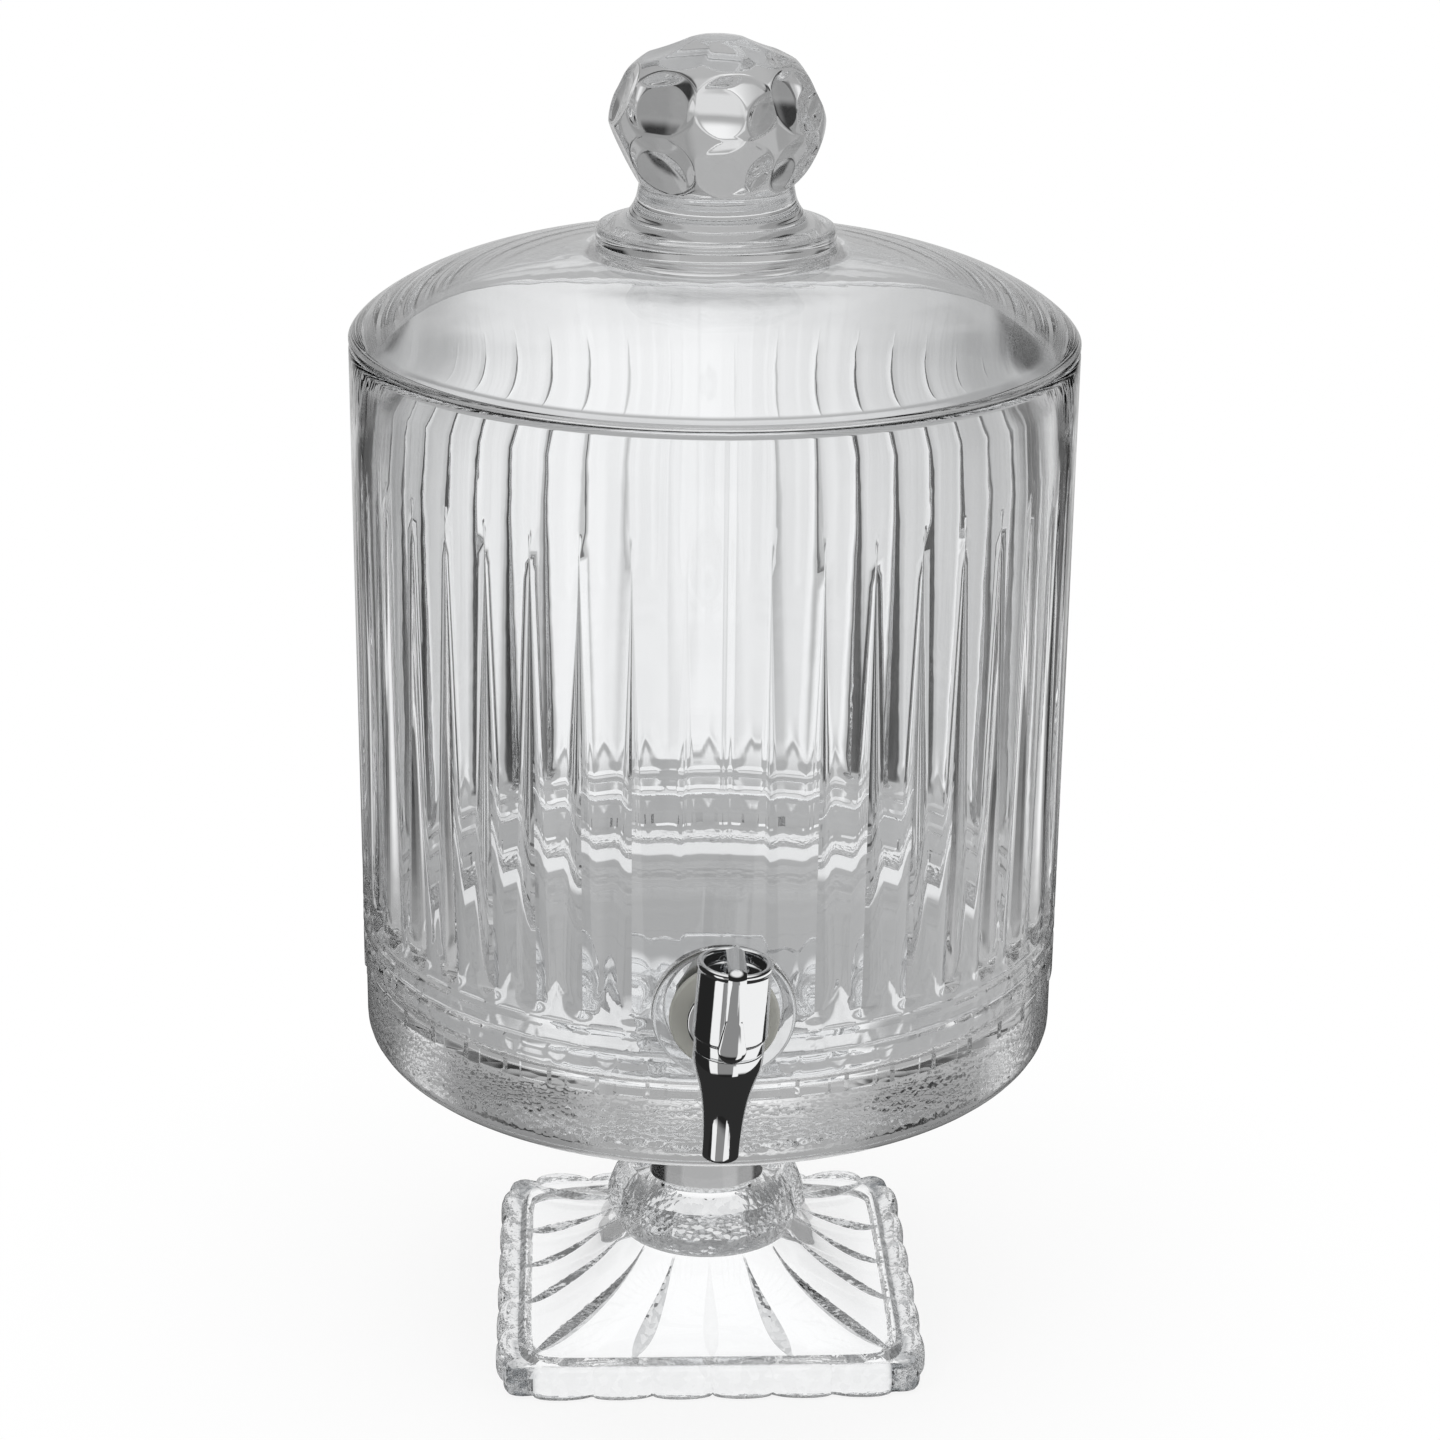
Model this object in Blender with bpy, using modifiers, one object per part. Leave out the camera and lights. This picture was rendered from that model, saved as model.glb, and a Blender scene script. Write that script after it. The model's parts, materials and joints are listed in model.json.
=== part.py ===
"""Footed glass dispenser jar with a lift-off lid and a chrome lever tap, in metres with +Z up.

The foot stands on z = 0 and the tap faces -Y. The origin lies on the table under the middle of the
footprint box, so the jar's own axis stands a little behind it.
"""

import math

import bmesh
import bpy
from mathutils import Matrix, Vector

MM = 0.001

# Fits and facets
GAP = 0.3 * MM
PIN_CLEARANCE = 0.1 * MM
MERGE = 0.00001
LID_COLUMNS = 48
FOOT_COLUMNS = 48
TAP_COLUMNS = 32
SMALL_COLUMNS = 24
PIN_COLUMNS = 16
NUT_SIDES = 6
ROUND = 2.0
ARC_STEPS = 4

# Pedestal foot
FOOT_WIDTH = 137.5 * MM
FOOT_HEIGHT = 99.7 * MM
FOOT_SQUARENESS = 12.0
FOOT_WALL = 6 * MM
FOOT_RIM_WIDTH = 9 * MM
SKIRT_HEIGHT = 9.5 * MM
SKIRT_ROUND = 1.8 * MM
MARGIN_WIDTH = 7 * MM
BORDER_STEP = 2 * MM
PYRAMID_CURVE = 1.6
PYRAMID_SQUARE_FADE = 3
PYRAMID_ROWS = 6
FOOT_FLUTES = 16
FOOT_FLUTE_DEPTH = 1.3 * MM
KNOP_BASE_RADIUS = 29 * MM
KNOP_BASE_HEIGHT = 30 * MM
KNOP_RADIUS = 33 * MM
KNOP_HEIGHT = 38 * MM
KNOP_SHOULDER_RADIUS = 30.5 * MM
KNOP_SHOULDER_HEIGHT = 46 * MM
KNOP_TOP_RADIUS = 25 * MM
KNOP_TOP_HEIGHT = 51 * MM
STEM_RADIUS = 20 * MM
STEM_HEIGHT = 67 * MM
FOOT_HEAD_RADIUS = 37 * MM
FOOT_HEAD_THICKNESS = 4 * MM
FOOT_FLARE_CURVE = 2
CAVITY_NECK_RADIUS = 17 * MM
CAVITY_TOP_RADIUS = 12 * MM

# Jar
JAR_RADIUS = 110 * MM
JAR_HEIGHT = 227 * MM
JAR_WALL = 6 * MM
JAR_FLOOR = 25 * MM
JAR_HEEL_RADIUS = 12 * MM
JAR_CORNER_RADIUS = 8 * MM
JAR_LIP_RADIUS = 2 * MM
FLUTE_COUNT = 42
FLUTE_DEPTH = 2 * MM
FLUTE_TIP_HEIGHT = 190 * MM
BAND_TOP = 58 * MM
BAND_BOTTOM = 30 * MM
BAND_ROWS = 4
BAND_DEPTH = 1.5 * MM
PAD_RADIUS = 21 * MM
PAD_PROUD = 2.5 * MM
PAD_ROOT_COVER = 1 * MM
INNER_PAD_RADIUS = 17.5 * MM
INNER_PAD_STEP = 0.5 * MM

# Lid and its knob
LID_RISE = 27.4 * MM
LID_EDGE = 1.4 * MM
LID_EDGE_ROUND = 0.7 * MM
LID_WALL = 6 * MM
LID_ROUNDNESS = 2.6
LID_FULLNESS = 1.4
LID_ROWS = 7
LID_PLUG_DEPTH = 4 * MM
LID_PLUG_WIDTH = 2 * MM
LID_THICKENING = 7
LID_PLUG_CLEARANCE = 1.2 * MM
KNOB_FOOT_RADIUS = 36 * MM
KNOB_FOOT_HEIGHT = 6.5 * MM
KNOB_FOOT_ROUND = 2 * MM
KNOB_NECK_RADIUS = 23.3 * MM
KNOB_NECK_HEIGHT = 18.5 * MM
KNOB_FACETS = 8
KNOB_RADIUS = 31.6 * MM
KNOB_EQUATOR_HEIGHT = 38.5 * MM
KNOB_FACET_HEIGHT = 17 * MM
KNOB_SHOULDER_RADIUS = 23.5 * MM
KNOB_SHOULDER_HEIGHT = 55.5 * MM
KNOB_CROWN_RADIUS = 14 * MM
KNOB_HEIGHT = 62.5 * MM

# Tap: heights are measured from the axis of its shank
TAP_HEIGHT = 54.8 * MM
TAP_LEAN = math.radians(3.5)
TAP_REACH = 26 * MM
BULGE_RADIUS = 10 * MM
BULGE_TOP = 6 * MM
BULGE_BOTTOM = -4 * MM
BULGE_EDGE = 0.5 * MM
NOZZLE_RADIUS = 4.7 * MM
NOZZLE_END = -31.9 * MM
NOZZLE_SWEEP = 7 * MM
NOZZLE_ROWS = 8
NOZZLE_BORE = 3.4 * MM
BODY_NECK_RADIUS = 7.5 * MM
BODY_NECK_TOP = 12 * MM
CHAMBER_RADIUS = 5.8 * MM
SEAT_HEIGHT = -4.5 * MM
SHANK_RADIUS = 7.5 * MM
SHANK_BORE = 4 * MM
SHANK_SPARE = 2.5 * MM
SHANK_HOLE_CLEARANCE = 0.5 * MM
FLANGE_RADIUS = 11 * MM
FLANGE_THICKNESS = 2.8 * MM
OUTER_WASHER_RADIUS = 16 * MM
OUTER_WASHER_THICKNESS = 2.5 * MM
INNER_WASHER_RADIUS = 14 * MM
INNER_WASHER_THICKNESS = 2 * MM
CLAMP_WASHER_RADIUS = 13 * MM
CLAMP_WASHER_THICKNESS = 1 * MM
NUT_ACROSS_FLATS = 22 * MM
NUT_THICKNESS = 7 * MM

# Bonnet and the valve inside it
BONNET_RADIUS = 10.15 * MM
BONNET_TOP = 28.6 * MM
BONNET_RIM_WIDTH = 1.7 * MM
BONNET_EDGE = 0.5 * MM
DISH_DEPTH = 4.1 * MM
DISH_THICKNESS = 2 * MM
SPRING_CHAMBER_RADIUS = 6.5 * MM
CUP_FLANGE_THICKNESS = 0.9 * MM
CUP_WALL = 1.1 * MM
CUP_PLUG_THICKNESS = 2.5 * MM
STEM_FOOT_RADIUS = 3 * MM
STEM_FLANGE_RADIUS = 5.2 * MM
STEM_FLANGE_THICKNESS = 1.2 * MM
STEM_FLANGE_LIFT = 0.4 * MM
STEM_ROD_RADIUS = 2 * MM
STEM_HOLE_CLEARANCE = 0.3 * MM
STEM_TRAVEL = 3 * MM
EYE_THICKNESS = 2 * MM
SPRING_WIRE = 0.7 * MM
SPRING_TURNS = 4
SPRING_POINTS_PER_TURN = 10
SPRING_SIDE_GAP = 0.6 * MM

# Lever
LEVER_SWING = math.radians(90)
LEVER_WIDTH = 5.2 * MM
LEVER_THICKNESS = 2 * MM
LEVER_SIDE_GAP = 1.75 * MM
LEVER_RIM_GAP = 0.4 * MM
LEVER_LENGTH = 24.2 * MM
LEVER_TIP_RADIUS = 4 * MM
LEVER_TIP_PROUD = 0.3 * MM
LEVER_TIP_TAPER = 9 * MM
LEVER_BEND = 1.6 * MM
HUB_FRONT = 2.6 * MM
EYE_SIDE_GAP = 0.3 * MM
PIVOT_HEIGHT = 3 * MM
PIN_RADIUS = 0.8 * MM
PIN_SPARE = 0.5 * MM

# Places and counts worked out from the sizes above
JAR_COLUMNS = 2 * FLUTE_COUNT
JAR_BOTTOM = FOOT_HEIGHT + GAP
JAR_TOP = JAR_BOTTOM + JAR_HEIGHT
JAR_INNER_RADIUS = JAR_RADIUS - JAR_WALL
LID_BOTTOM = JAR_TOP + GAP
INNER_PAD_PROUD = JAR_INNER_RADIUS - math.sqrt(JAR_INNER_RADIUS**2 - INNER_PAD_RADIUS**2) + INNER_PAD_STEP
PAD_FACE = JAR_RADIUS + PAD_PROUD
PAD_ROOT = JAR_INNER_RADIUS + PAD_ROOT_COVER
PAD_STACK = PAD_PROUD + JAR_WALL + INNER_PAD_PROUD
SHANK_NECK_RADIUS = BULGE_TOP - BULGE_EDGE
OUTER_WASHER_FACE = -GAP - OUTER_WASHER_THICKNESS
FLANGE_FACE = OUTER_WASHER_FACE - GAP
INNER_WASHER_FACE = PAD_STACK + GAP
CLAMP_WASHER_FACE = INNER_WASHER_FACE + INNER_WASHER_THICKNESS + GAP
NUT_FACE = CLAMP_WASHER_FACE + CLAMP_WASHER_THICKNESS + GAP
SHANK_END = NUT_FACE + NUT_THICKNESS + SHANK_SPARE
WASHER_BORE = SHANK_RADIUS + GAP
BONNET_BOTTOM = BULGE_TOP + GAP
BONNET_BORE = BODY_NECK_RADIUS + GAP
CUP_FLANGE_BOTTOM = BODY_NECK_TOP + GAP
CUP_FLANGE_TOP = CUP_FLANGE_BOTTOM + CUP_FLANGE_THICKNESS
BONNET_SHOULDER = CUP_FLANGE_TOP + GAP
DISH_TOP = BONNET_TOP - DISH_DEPTH
DISH_BOTTOM = DISH_TOP - DISH_THICKNESS
DISH_RADIUS = BONNET_RADIUS - BONNET_RIM_WIDTH
CUP_BORE = STEM_FOOT_RADIUS + GAP
STEM_BOTTOM = SEAT_HEIGHT + GAP + CUP_PLUG_THICKNESS + GAP
STEM_FLANGE_BOTTOM = BONNET_SHOULDER + STEM_FLANGE_LIFT
STEM_FLANGE_TOP = STEM_FLANGE_BOTTOM + STEM_FLANGE_THICKNESS
PIVOT_Z = DISH_TOP + PIVOT_HEIGHT
HUB_DEPTH = PIVOT_HEIGHT - GAP
HUB_REACH = HUB_DEPTH + STEM_TRAVEL
ARM_UNDERSIDE = BONNET_TOP + LEVER_RIM_GAP - PIVOT_Z
ARM_TOP = ARM_UNDERSIDE + LEVER_THICKNESS
LEVER_INNER = BONNET_RADIUS + LEVER_SIDE_GAP
LEVER_OUTER = LEVER_INNER + LEVER_THICKNESS
FRONT_REACH = PAD_FACE + TAP_REACH + LEVER_OUTER + LEVER_TIP_PROUD
AXIS_Y = (FRONT_REACH - JAR_RADIUS) / 2


def clear_scene():
    """Removes every object of the scene."""
    for obj in list(bpy.data.objects):
        bpy.data.objects.remove(obj, do_unlink=True)


def new_collection(name):
    """Adds a collection to the scene."""
    collection = bpy.data.collections.new(name)
    bpy.context.scene.collection.children.link(collection)
    return collection


def new_finish(name, colour, roughness, metallic=0.0, transmission=0.0):
    """A Principled material."""
    finish = bpy.data.materials.new(name)
    finish.use_nodes = True
    shader = finish.node_tree.nodes["Principled BSDF"]
    shader.inputs["Base Color"].default_value = (*colour, 1.0)
    shader.inputs["Roughness"].default_value = roughness
    shader.inputs["Metallic"].default_value = metallic
    shader.inputs["Transmission Weight"].default_value = transmission
    return finish


def place(obj, collection, parent, location=(0, 0, 0), rotation=(0, 0, 0)):
    """Links an object and sets it under its parent."""
    collection.objects.link(obj)
    obj.parent = parent
    obj.location = location
    obj.rotation_euler = rotation
    return obj


def new_empty(name, parent, location, rotation=(0, 0, 0)):
    """An empty that carries a sub-assembly."""
    return place(bpy.data.objects.new(name, None), PARTS, parent, location, rotation)


def turned(name, profile, steps, closed=False):
    """An unplaced object whose (radius, height) profile spins about Z, outer side given top to bottom."""
    mesh = bpy.data.meshes.new(name)
    last = len(profile) - 1
    edges = [(i, i + 1) for i in range(last)]
    if closed:
        edges.append((last, 0))
    mesh.from_pydata([(radius, 0, height) for radius, height in profile], edges, [])
    obj = bpy.data.objects.new(name, mesh)
    spin = obj.modifiers.new("spin", "SCREW")
    spin.steps = steps
    spin.render_steps = steps
    spin.use_merge_vertices = True
    spin.merge_threshold = MERGE
    return obj


def ring_profile(inner, outer, bottom, top):
    """The closed profile of a plain ring."""
    return [(inner, top), (outer, top), (outer, bottom), (inner, bottom)]


def arc(centre, radius, start, end, steps=ARC_STEPS):
    """Points of an arc in the (radius, height) plane, angles in degrees from +radius."""
    points = []
    for step in range(steps + 1):
        angle = math.radians(start + (end - start) * step / steps)
        points.append((centre[0] + radius * math.cos(angle), centre[1] + radius * math.sin(angle)))
    return points


def settled(obj):
    """A mesh object with the modifiers or the curve of this one applied, in its place."""
    bpy.context.view_layer.update()
    graph = bpy.context.evaluated_depsgraph_get()
    mesh = bpy.data.meshes.new_from_object(obj.evaluated_get(graph))
    work = bmesh.new()
    work.from_mesh(mesh)
    bmesh.ops.remove_doubles(work, verts=work.verts, dist=MERGE)
    work.to_mesh(mesh)
    work.free()
    name = obj.name
    collection = obj.users_collection[0]
    new = bpy.data.objects.new(name + "_mesh", mesh)
    place(new, collection, obj.parent, obj.location, obj.rotation_euler)
    bpy.data.objects.remove(obj, do_unlink=True)
    new.name = name
    return new


def combine(obj, tool, operation):
    """Joins a tool to an object or cuts it out. The tool moves with the object."""
    modifier = obj.modifiers.new(tool.name, "BOOLEAN")
    modifier.operation = operation
    modifier.object = tool
    tool.hide_render = True
    tool.display_type = "WIRE"


def rod_tool(name, radius, low, high, axis, parent, centre=(0, 0, 0), steps=TAP_COLUMNS):
    """A cylinder from low to high along X, Y or Z of its parent, through the given centre."""
    turns = {
        "X": Matrix.Rotation(math.radians(90), 4, "Y"),
        "Y": Matrix.Rotation(math.radians(-90), 4, "X"),
        "Z": Matrix.Identity(4),
    }
    along = turns[axis] @ Vector((0, 0, (low + high) / 2))
    mesh = bpy.data.meshes.new(name)
    work = bmesh.new()
    bmesh.ops.create_cone(
        work,
        cap_ends=True,
        segments=steps,
        radius1=radius,
        radius2=radius,
        depth=high - low,
        matrix=Matrix.Translation(along + Vector(centre)) @ turns[axis],
    )
    work.to_mesh(mesh)
    work.free()
    return place(bpy.data.objects.new(name, mesh), TOOLS, parent)


def box_tool(name, low, high, parent):
    """A box between two corners in its parent's frame."""
    size = Vector(high) - Vector(low)
    middle = (Vector(high) + Vector(low)) / 2
    mesh = bpy.data.meshes.new(name)
    work = bmesh.new()
    bmesh.ops.create_cube(work, size=1, matrix=Matrix.Translation(middle) @ Matrix.Diagonal((*size, 1)))
    work.to_mesh(mesh)
    work.free()
    return place(bpy.data.objects.new(name, mesh), TOOLS, parent)


def plate(name, outline, thickness, turn, collection, parent, location):
    """A flat outline in the XY plane, thick along Z, made a mesh and turned by a matrix about its origin."""
    curve = bpy.data.curves.new(name, "CURVE")
    curve.dimensions = "2D"
    curve.fill_mode = "BOTH"
    curve.extrude = thickness / 2
    spline = curve.splines.new("POLY")
    spline.points.add(len(outline) - 1)
    for point, (x, y) in zip(spline.points, outline):
        point.co = (x, y, 0, 1)
    spline.use_cyclic_u = True
    obj = settled(place(bpy.data.objects.new(name, curve), collection, parent, location))
    obj.data.transform(turn)
    return obj


def finished(obj, finish, smooth_angle=math.radians(35)):
    """Gives a piece its material and smooth shading between its sharp edges."""
    obj.data.materials.clear()
    obj.data.materials.append(finish)
    if obj.type == "MESH" and obj.data.polygons:
        obj.data.shade_smooth()
        obj.data.set_sharp_from_angle(angle=smooth_angle)
    return obj


def rounded_square(half, squareness, height):
    """One ring of foot points: a superellipse, which is a circle at the squareness ROUND."""
    ring = []
    for column in range(FOOT_COLUMNS):
        angle = 2 * math.pi * column / FOOT_COLUMNS
        across = abs(math.cos(angle)) ** squareness + abs(math.sin(angle)) ** squareness
        radius = half * across ** (-1 / squareness)
        ring.append(Vector((radius * math.cos(angle), radius * math.sin(angle), height)))
    return ring


def skinned(name, rings):
    """A closed mesh through rings of equal count, capped at its first and last ring."""
    work = bmesh.new()
    rows = [[work.verts.new(point) for point in ring] for ring in rings]
    count = len(rings[0])
    for lower, upper in zip(rows, rows[1:]):
        for i in range(count):
            j = (i + 1) % count
            work.faces.new((lower[i], lower[j], upper[j], upper[i]))
    work.faces.new(rows[0])
    work.faces.new(rows[-1])
    bmesh.ops.recalc_face_normals(work, faces=work.faces)
    mesh = bpy.data.meshes.new(name)
    work.to_mesh(mesh)
    work.free()
    return bpy.data.objects.new(name, mesh)


def mix(start, end, share):
    """The value that lies this share of the way from start to end."""
    return start + (end - start) * share


def pyramid_rings(base_half, base_height, top_radius, top_height, flute_depth):
    """Rings of the foot's concave slope, from its square base to its round top."""
    rings = []
    flute_step = FOOT_COLUMNS // FOOT_FLUTES
    for row in range(PYRAMID_ROWS + 1):
        share = row / PYRAMID_ROWS
        squareness = mix(ROUND, FOOT_SQUARENESS, (1 - share) ** PYRAMID_SQUARE_FADE)
        height = mix(base_height, top_height, share**PYRAMID_CURVE)
        ring = rounded_square(mix(base_half, top_radius, share), squareness, height)
        for column in range(0, FOOT_COLUMNS, flute_step):
            ring[column].z -= flute_depth * math.sin(math.pi * share)
        rings.append(ring)
    return rings


def make_foot():
    """The hollow pressed-glass pedestal, open underneath."""
    half = FOOT_WIDTH / 2
    border_half = half - MARGIN_WIDTH - BORDER_STEP
    border_height = SKIRT_HEIGHT + BORDER_STEP
    cavity_half = half - FOOT_RIM_WIDTH
    cavity_top = KNOP_TOP_HEIGHT - FOOT_WALL
    rings = [
        rounded_square(CAVITY_TOP_RADIUS, ROUND, cavity_top),
        rounded_square(CAVITY_NECK_RADIUS, ROUND, KNOP_HEIGHT),
    ]
    under = pyramid_rings(
        border_half - FOOT_WALL / 2,
        border_height - FOOT_WALL,
        KNOP_BASE_RADIUS - FOOT_WALL,
        KNOP_BASE_HEIGHT - FOOT_WALL,
        0,
    )
    rings += reversed(under)
    rings += [
        rounded_square(cavity_half, FOOT_SQUARENESS, 0),
        rounded_square(half - SKIRT_ROUND, FOOT_SQUARENESS, 0),
        rounded_square(half, FOOT_SQUARENESS, SKIRT_ROUND),
        rounded_square(half, FOOT_SQUARENESS, SKIRT_HEIGHT - SKIRT_ROUND),
        rounded_square(half - SKIRT_ROUND, FOOT_SQUARENESS, SKIRT_HEIGHT),
        rounded_square(half - MARGIN_WIDTH, FOOT_SQUARENESS, SKIRT_HEIGHT),
    ]
    rings += pyramid_rings(border_half, border_height, KNOP_BASE_RADIUS, KNOP_BASE_HEIGHT, FOOT_FLUTE_DEPTH)
    rings += [
        rounded_square(KNOP_RADIUS, ROUND, KNOP_HEIGHT),
        rounded_square(KNOP_SHOULDER_RADIUS, ROUND, KNOP_SHOULDER_HEIGHT),
        rounded_square(KNOP_TOP_RADIUS, ROUND, KNOP_TOP_HEIGHT),
    ]
    flare_top = FOOT_HEIGHT - FOOT_HEAD_THICKNESS
    for step in range(ARC_STEPS + 1):
        share = step / ARC_STEPS
        radius = mix(STEM_RADIUS, FOOT_HEAD_RADIUS, share**FOOT_FLARE_CURVE)
        rings.append(rounded_square(radius, ROUND, mix(STEM_HEIGHT, flare_top, share)))
    rings.append(rounded_square(FOOT_HEAD_RADIUS, ROUND, FOOT_HEIGHT))
    foot = place(skinned("pedestal_foot", rings), PARTS, AXIS)
    return finished(foot, GLASS)


def jar_profile():
    """The jar's closed half section, in heights above its own underside."""
    lip = JAR_HEIGHT - JAR_LIP_RADIUS
    heel = (JAR_RADIUS - JAR_HEEL_RADIUS, JAR_HEEL_RADIUS)
    corner = (JAR_INNER_RADIUS - JAR_CORNER_RADIUS, JAR_FLOOR + JAR_CORNER_RADIUS)
    points = [(0, JAR_FLOOR)]
    points += arc(corner, JAR_CORNER_RADIUS, -90, 0)
    points += arc((JAR_INNER_RADIUS + JAR_LIP_RADIUS, lip), JAR_LIP_RADIUS, 180, 90, 2)
    points += arc((JAR_RADIUS - JAR_LIP_RADIUS, lip), JAR_LIP_RADIUS, 90, 0, 2)
    points.append((JAR_RADIUS, FLUTE_TIP_HEIGHT))
    for row in range(BAND_ROWS + 1):
        points.append((JAR_RADIUS, mix(BAND_TOP, BAND_BOTTOM, row / BAND_ROWS)))
    points += arc(heel, JAR_HEEL_RADIUS, 0, -90)
    points.append((0, 0))
    return points


def carve_jar(mesh):
    """Sinks every other column for the pointed flutes, and alternate points for the diamond band."""
    row_height = (BAND_TOP - BAND_BOTTOM) / BAND_ROWS
    for vert in mesh.vertices:
        radius = math.hypot(vert.co.x, vert.co.y)
        on_wall = radius > JAR_RADIUS - JAR_LIP_RADIUS / 2
        if not on_wall or not BAND_BOTTOM + MERGE < vert.co.z < FLUTE_TIP_HEIGHT - MERGE:
            continue
        column = round(math.atan2(vert.co.y, vert.co.x) / (2 * math.pi) * JAR_COLUMNS)
        if vert.co.z > BAND_TOP - MERGE:
            depth = FLUTE_DEPTH * (column % 2)
        else:
            row = round((BAND_TOP - vert.co.z) / row_height)
            depth = BAND_DEPTH * ((column + row) % 2)
        vert.co.x *= 1 - depth / radius
        vert.co.y *= 1 - depth / radius


def make_jar():
    """The fluted glass jar with a flat pad for the tap and the hole through it."""
    jar = place(turned("glass_jar", jar_profile(), JAR_COLUMNS), PARTS, AXIS, (0, 0, JAR_BOTTOM))
    jar = settled(jar)
    carve_jar(jar.data)
    inner_face = PAD_FACE - PAD_STACK
    pad_profile = [
        (0, PAD_FACE),
        (PAD_RADIUS, PAD_FACE),
        (PAD_RADIUS, PAD_ROOT),
        (INNER_PAD_RADIUS, PAD_ROOT),
        (INNER_PAD_RADIUS, inner_face),
        (0, inner_face),
    ]
    pad = turned("tap_pad_tool", pad_profile, TAP_COLUMNS)
    place(pad, TOOLS, jar, (0, 0, TAP_HEIGHT), (math.radians(90), 0, 0))
    combine(jar, pad, "UNION")
    hole = rod_tool(
        "tap_hole_tool",
        SHANK_RADIUS + SHANK_HOLE_CLEARANCE,
        -PAD_FACE - PAD_PROUD,
        PAD_PROUD - inner_face,
        "Y",
        jar,
        (0, 0, TAP_HEIGHT),
    )
    combine(jar, hole, "DIFFERENCE")
    return finished(jar, GLASS)


def dome_height(radius):
    """Height of the lid's outer surface above the lower edge of its dome."""
    share = min(radius / JAR_RADIUS, 1)
    return LID_RISE * (1 - share**LID_ROUNDNESS) ** (1 / LID_FULLNESS)


def make_lid():
    """The domed lid, whose wall thickens to a step that centres it in the jar's mouth."""
    plug_outer = JAR_INNER_RADIUS - LID_PLUG_CLEARANCE
    plug_inner = plug_outer - LID_PLUG_WIDTH
    landing = dome_height(KNOB_FOOT_RADIUS) + LID_EDGE
    points = [(0, landing)]
    for row in range(LID_ROWS + 1):
        angle = math.pi / 2 * row / LID_ROWS
        radius = mix(KNOB_FOOT_RADIUS, JAR_RADIUS, math.sin(angle))
        points.append((radius, dome_height(radius) + LID_EDGE))
    points += [
        (JAR_RADIUS, LID_EDGE_ROUND),
        (JAR_RADIUS - LID_EDGE_ROUND, 0),
        (plug_outer, 0),
        (plug_outer, -LID_PLUG_DEPTH),
    ]
    step_sink = dome_height(plug_inner) + LID_EDGE - LID_WALL + LID_PLUG_DEPTH
    for row in range(LID_ROWS, -1, -1):
        radius = plug_inner * row / LID_ROWS
        sink = step_sink * (row / LID_ROWS) ** LID_THICKENING
        points.append((radius, min(dome_height(radius) + LID_EDGE - sink, landing) - LID_WALL))
    lid = place(turned("lid_dome", points, LID_COLUMNS), PARTS, AXIS, (0, 0, LID_BOTTOM))
    finished(settled(lid), GLASS)
    return LID_BOTTOM + landing + GAP


def make_knob(height):
    """The faceted ball knob on its flared foot, bonded to the dome's flat landing."""
    foot_profile = [(0, KNOB_EQUATOR_HEIGHT), (KNOB_NECK_RADIUS, KNOB_EQUATOR_HEIGHT)]
    foot_profile.append((KNOB_NECK_RADIUS, KNOB_NECK_HEIGHT))
    shoulder_radius = KNOB_FOOT_RADIUS - KNOB_FOOT_ROUND
    for step in range(1, ARC_STEPS + 1):
        angle = math.pi / 2 * step / ARC_STEPS
        radius = mix(shoulder_radius, KNOB_NECK_RADIUS, math.cos(angle))
        foot_profile.append((radius, mix(KNOB_NECK_HEIGHT, KNOB_FOOT_HEIGHT, math.sin(angle))))
    foot_profile += [
        (KNOB_FOOT_RADIUS, KNOB_FOOT_HEIGHT - KNOB_FOOT_ROUND),
        (KNOB_FOOT_RADIUS, 0),
        (0, 0),
    ]
    knob = place(turned("lid_knob", foot_profile, LID_COLUMNS), PARTS, AXIS, (0, 0, height))
    knob = settled(knob)
    upper = KNOB_EQUATOR_HEIGHT + KNOB_FACET_HEIGHT / 2
    lower = KNOB_EQUATOR_HEIGHT - KNOB_FACET_HEIGHT / 2
    ball_profile = [
        (0, KNOB_HEIGHT),
        (KNOB_CROWN_RADIUS, KNOB_HEIGHT),
        (KNOB_SHOULDER_RADIUS, KNOB_SHOULDER_HEIGHT),
        (KNOB_RADIUS, upper),
        (KNOB_RADIUS, lower),
        (KNOB_NECK_RADIUS + GAP, KNOB_NECK_HEIGHT),
        (0, KNOB_NECK_HEIGHT),
    ]
    ball = turned("knob_ball_tool", ball_profile, KNOB_FACETS)
    place(ball, TOOLS, knob, (0, 0, 0), (0, 0, math.pi / KNOB_FACETS))
    combine(knob, ball, "UNION")
    return finished(knob, GLASS)


def nozzle_radius(depth):
    """Outer radius of the tap body at a depth below its bulge: a bell curve down to the nozzle."""
    return NOZZLE_RADIUS + (BULGE_RADIUS - NOZZLE_RADIUS) / (1 + (depth / NOZZLE_SWEEP) ** 2)


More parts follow.
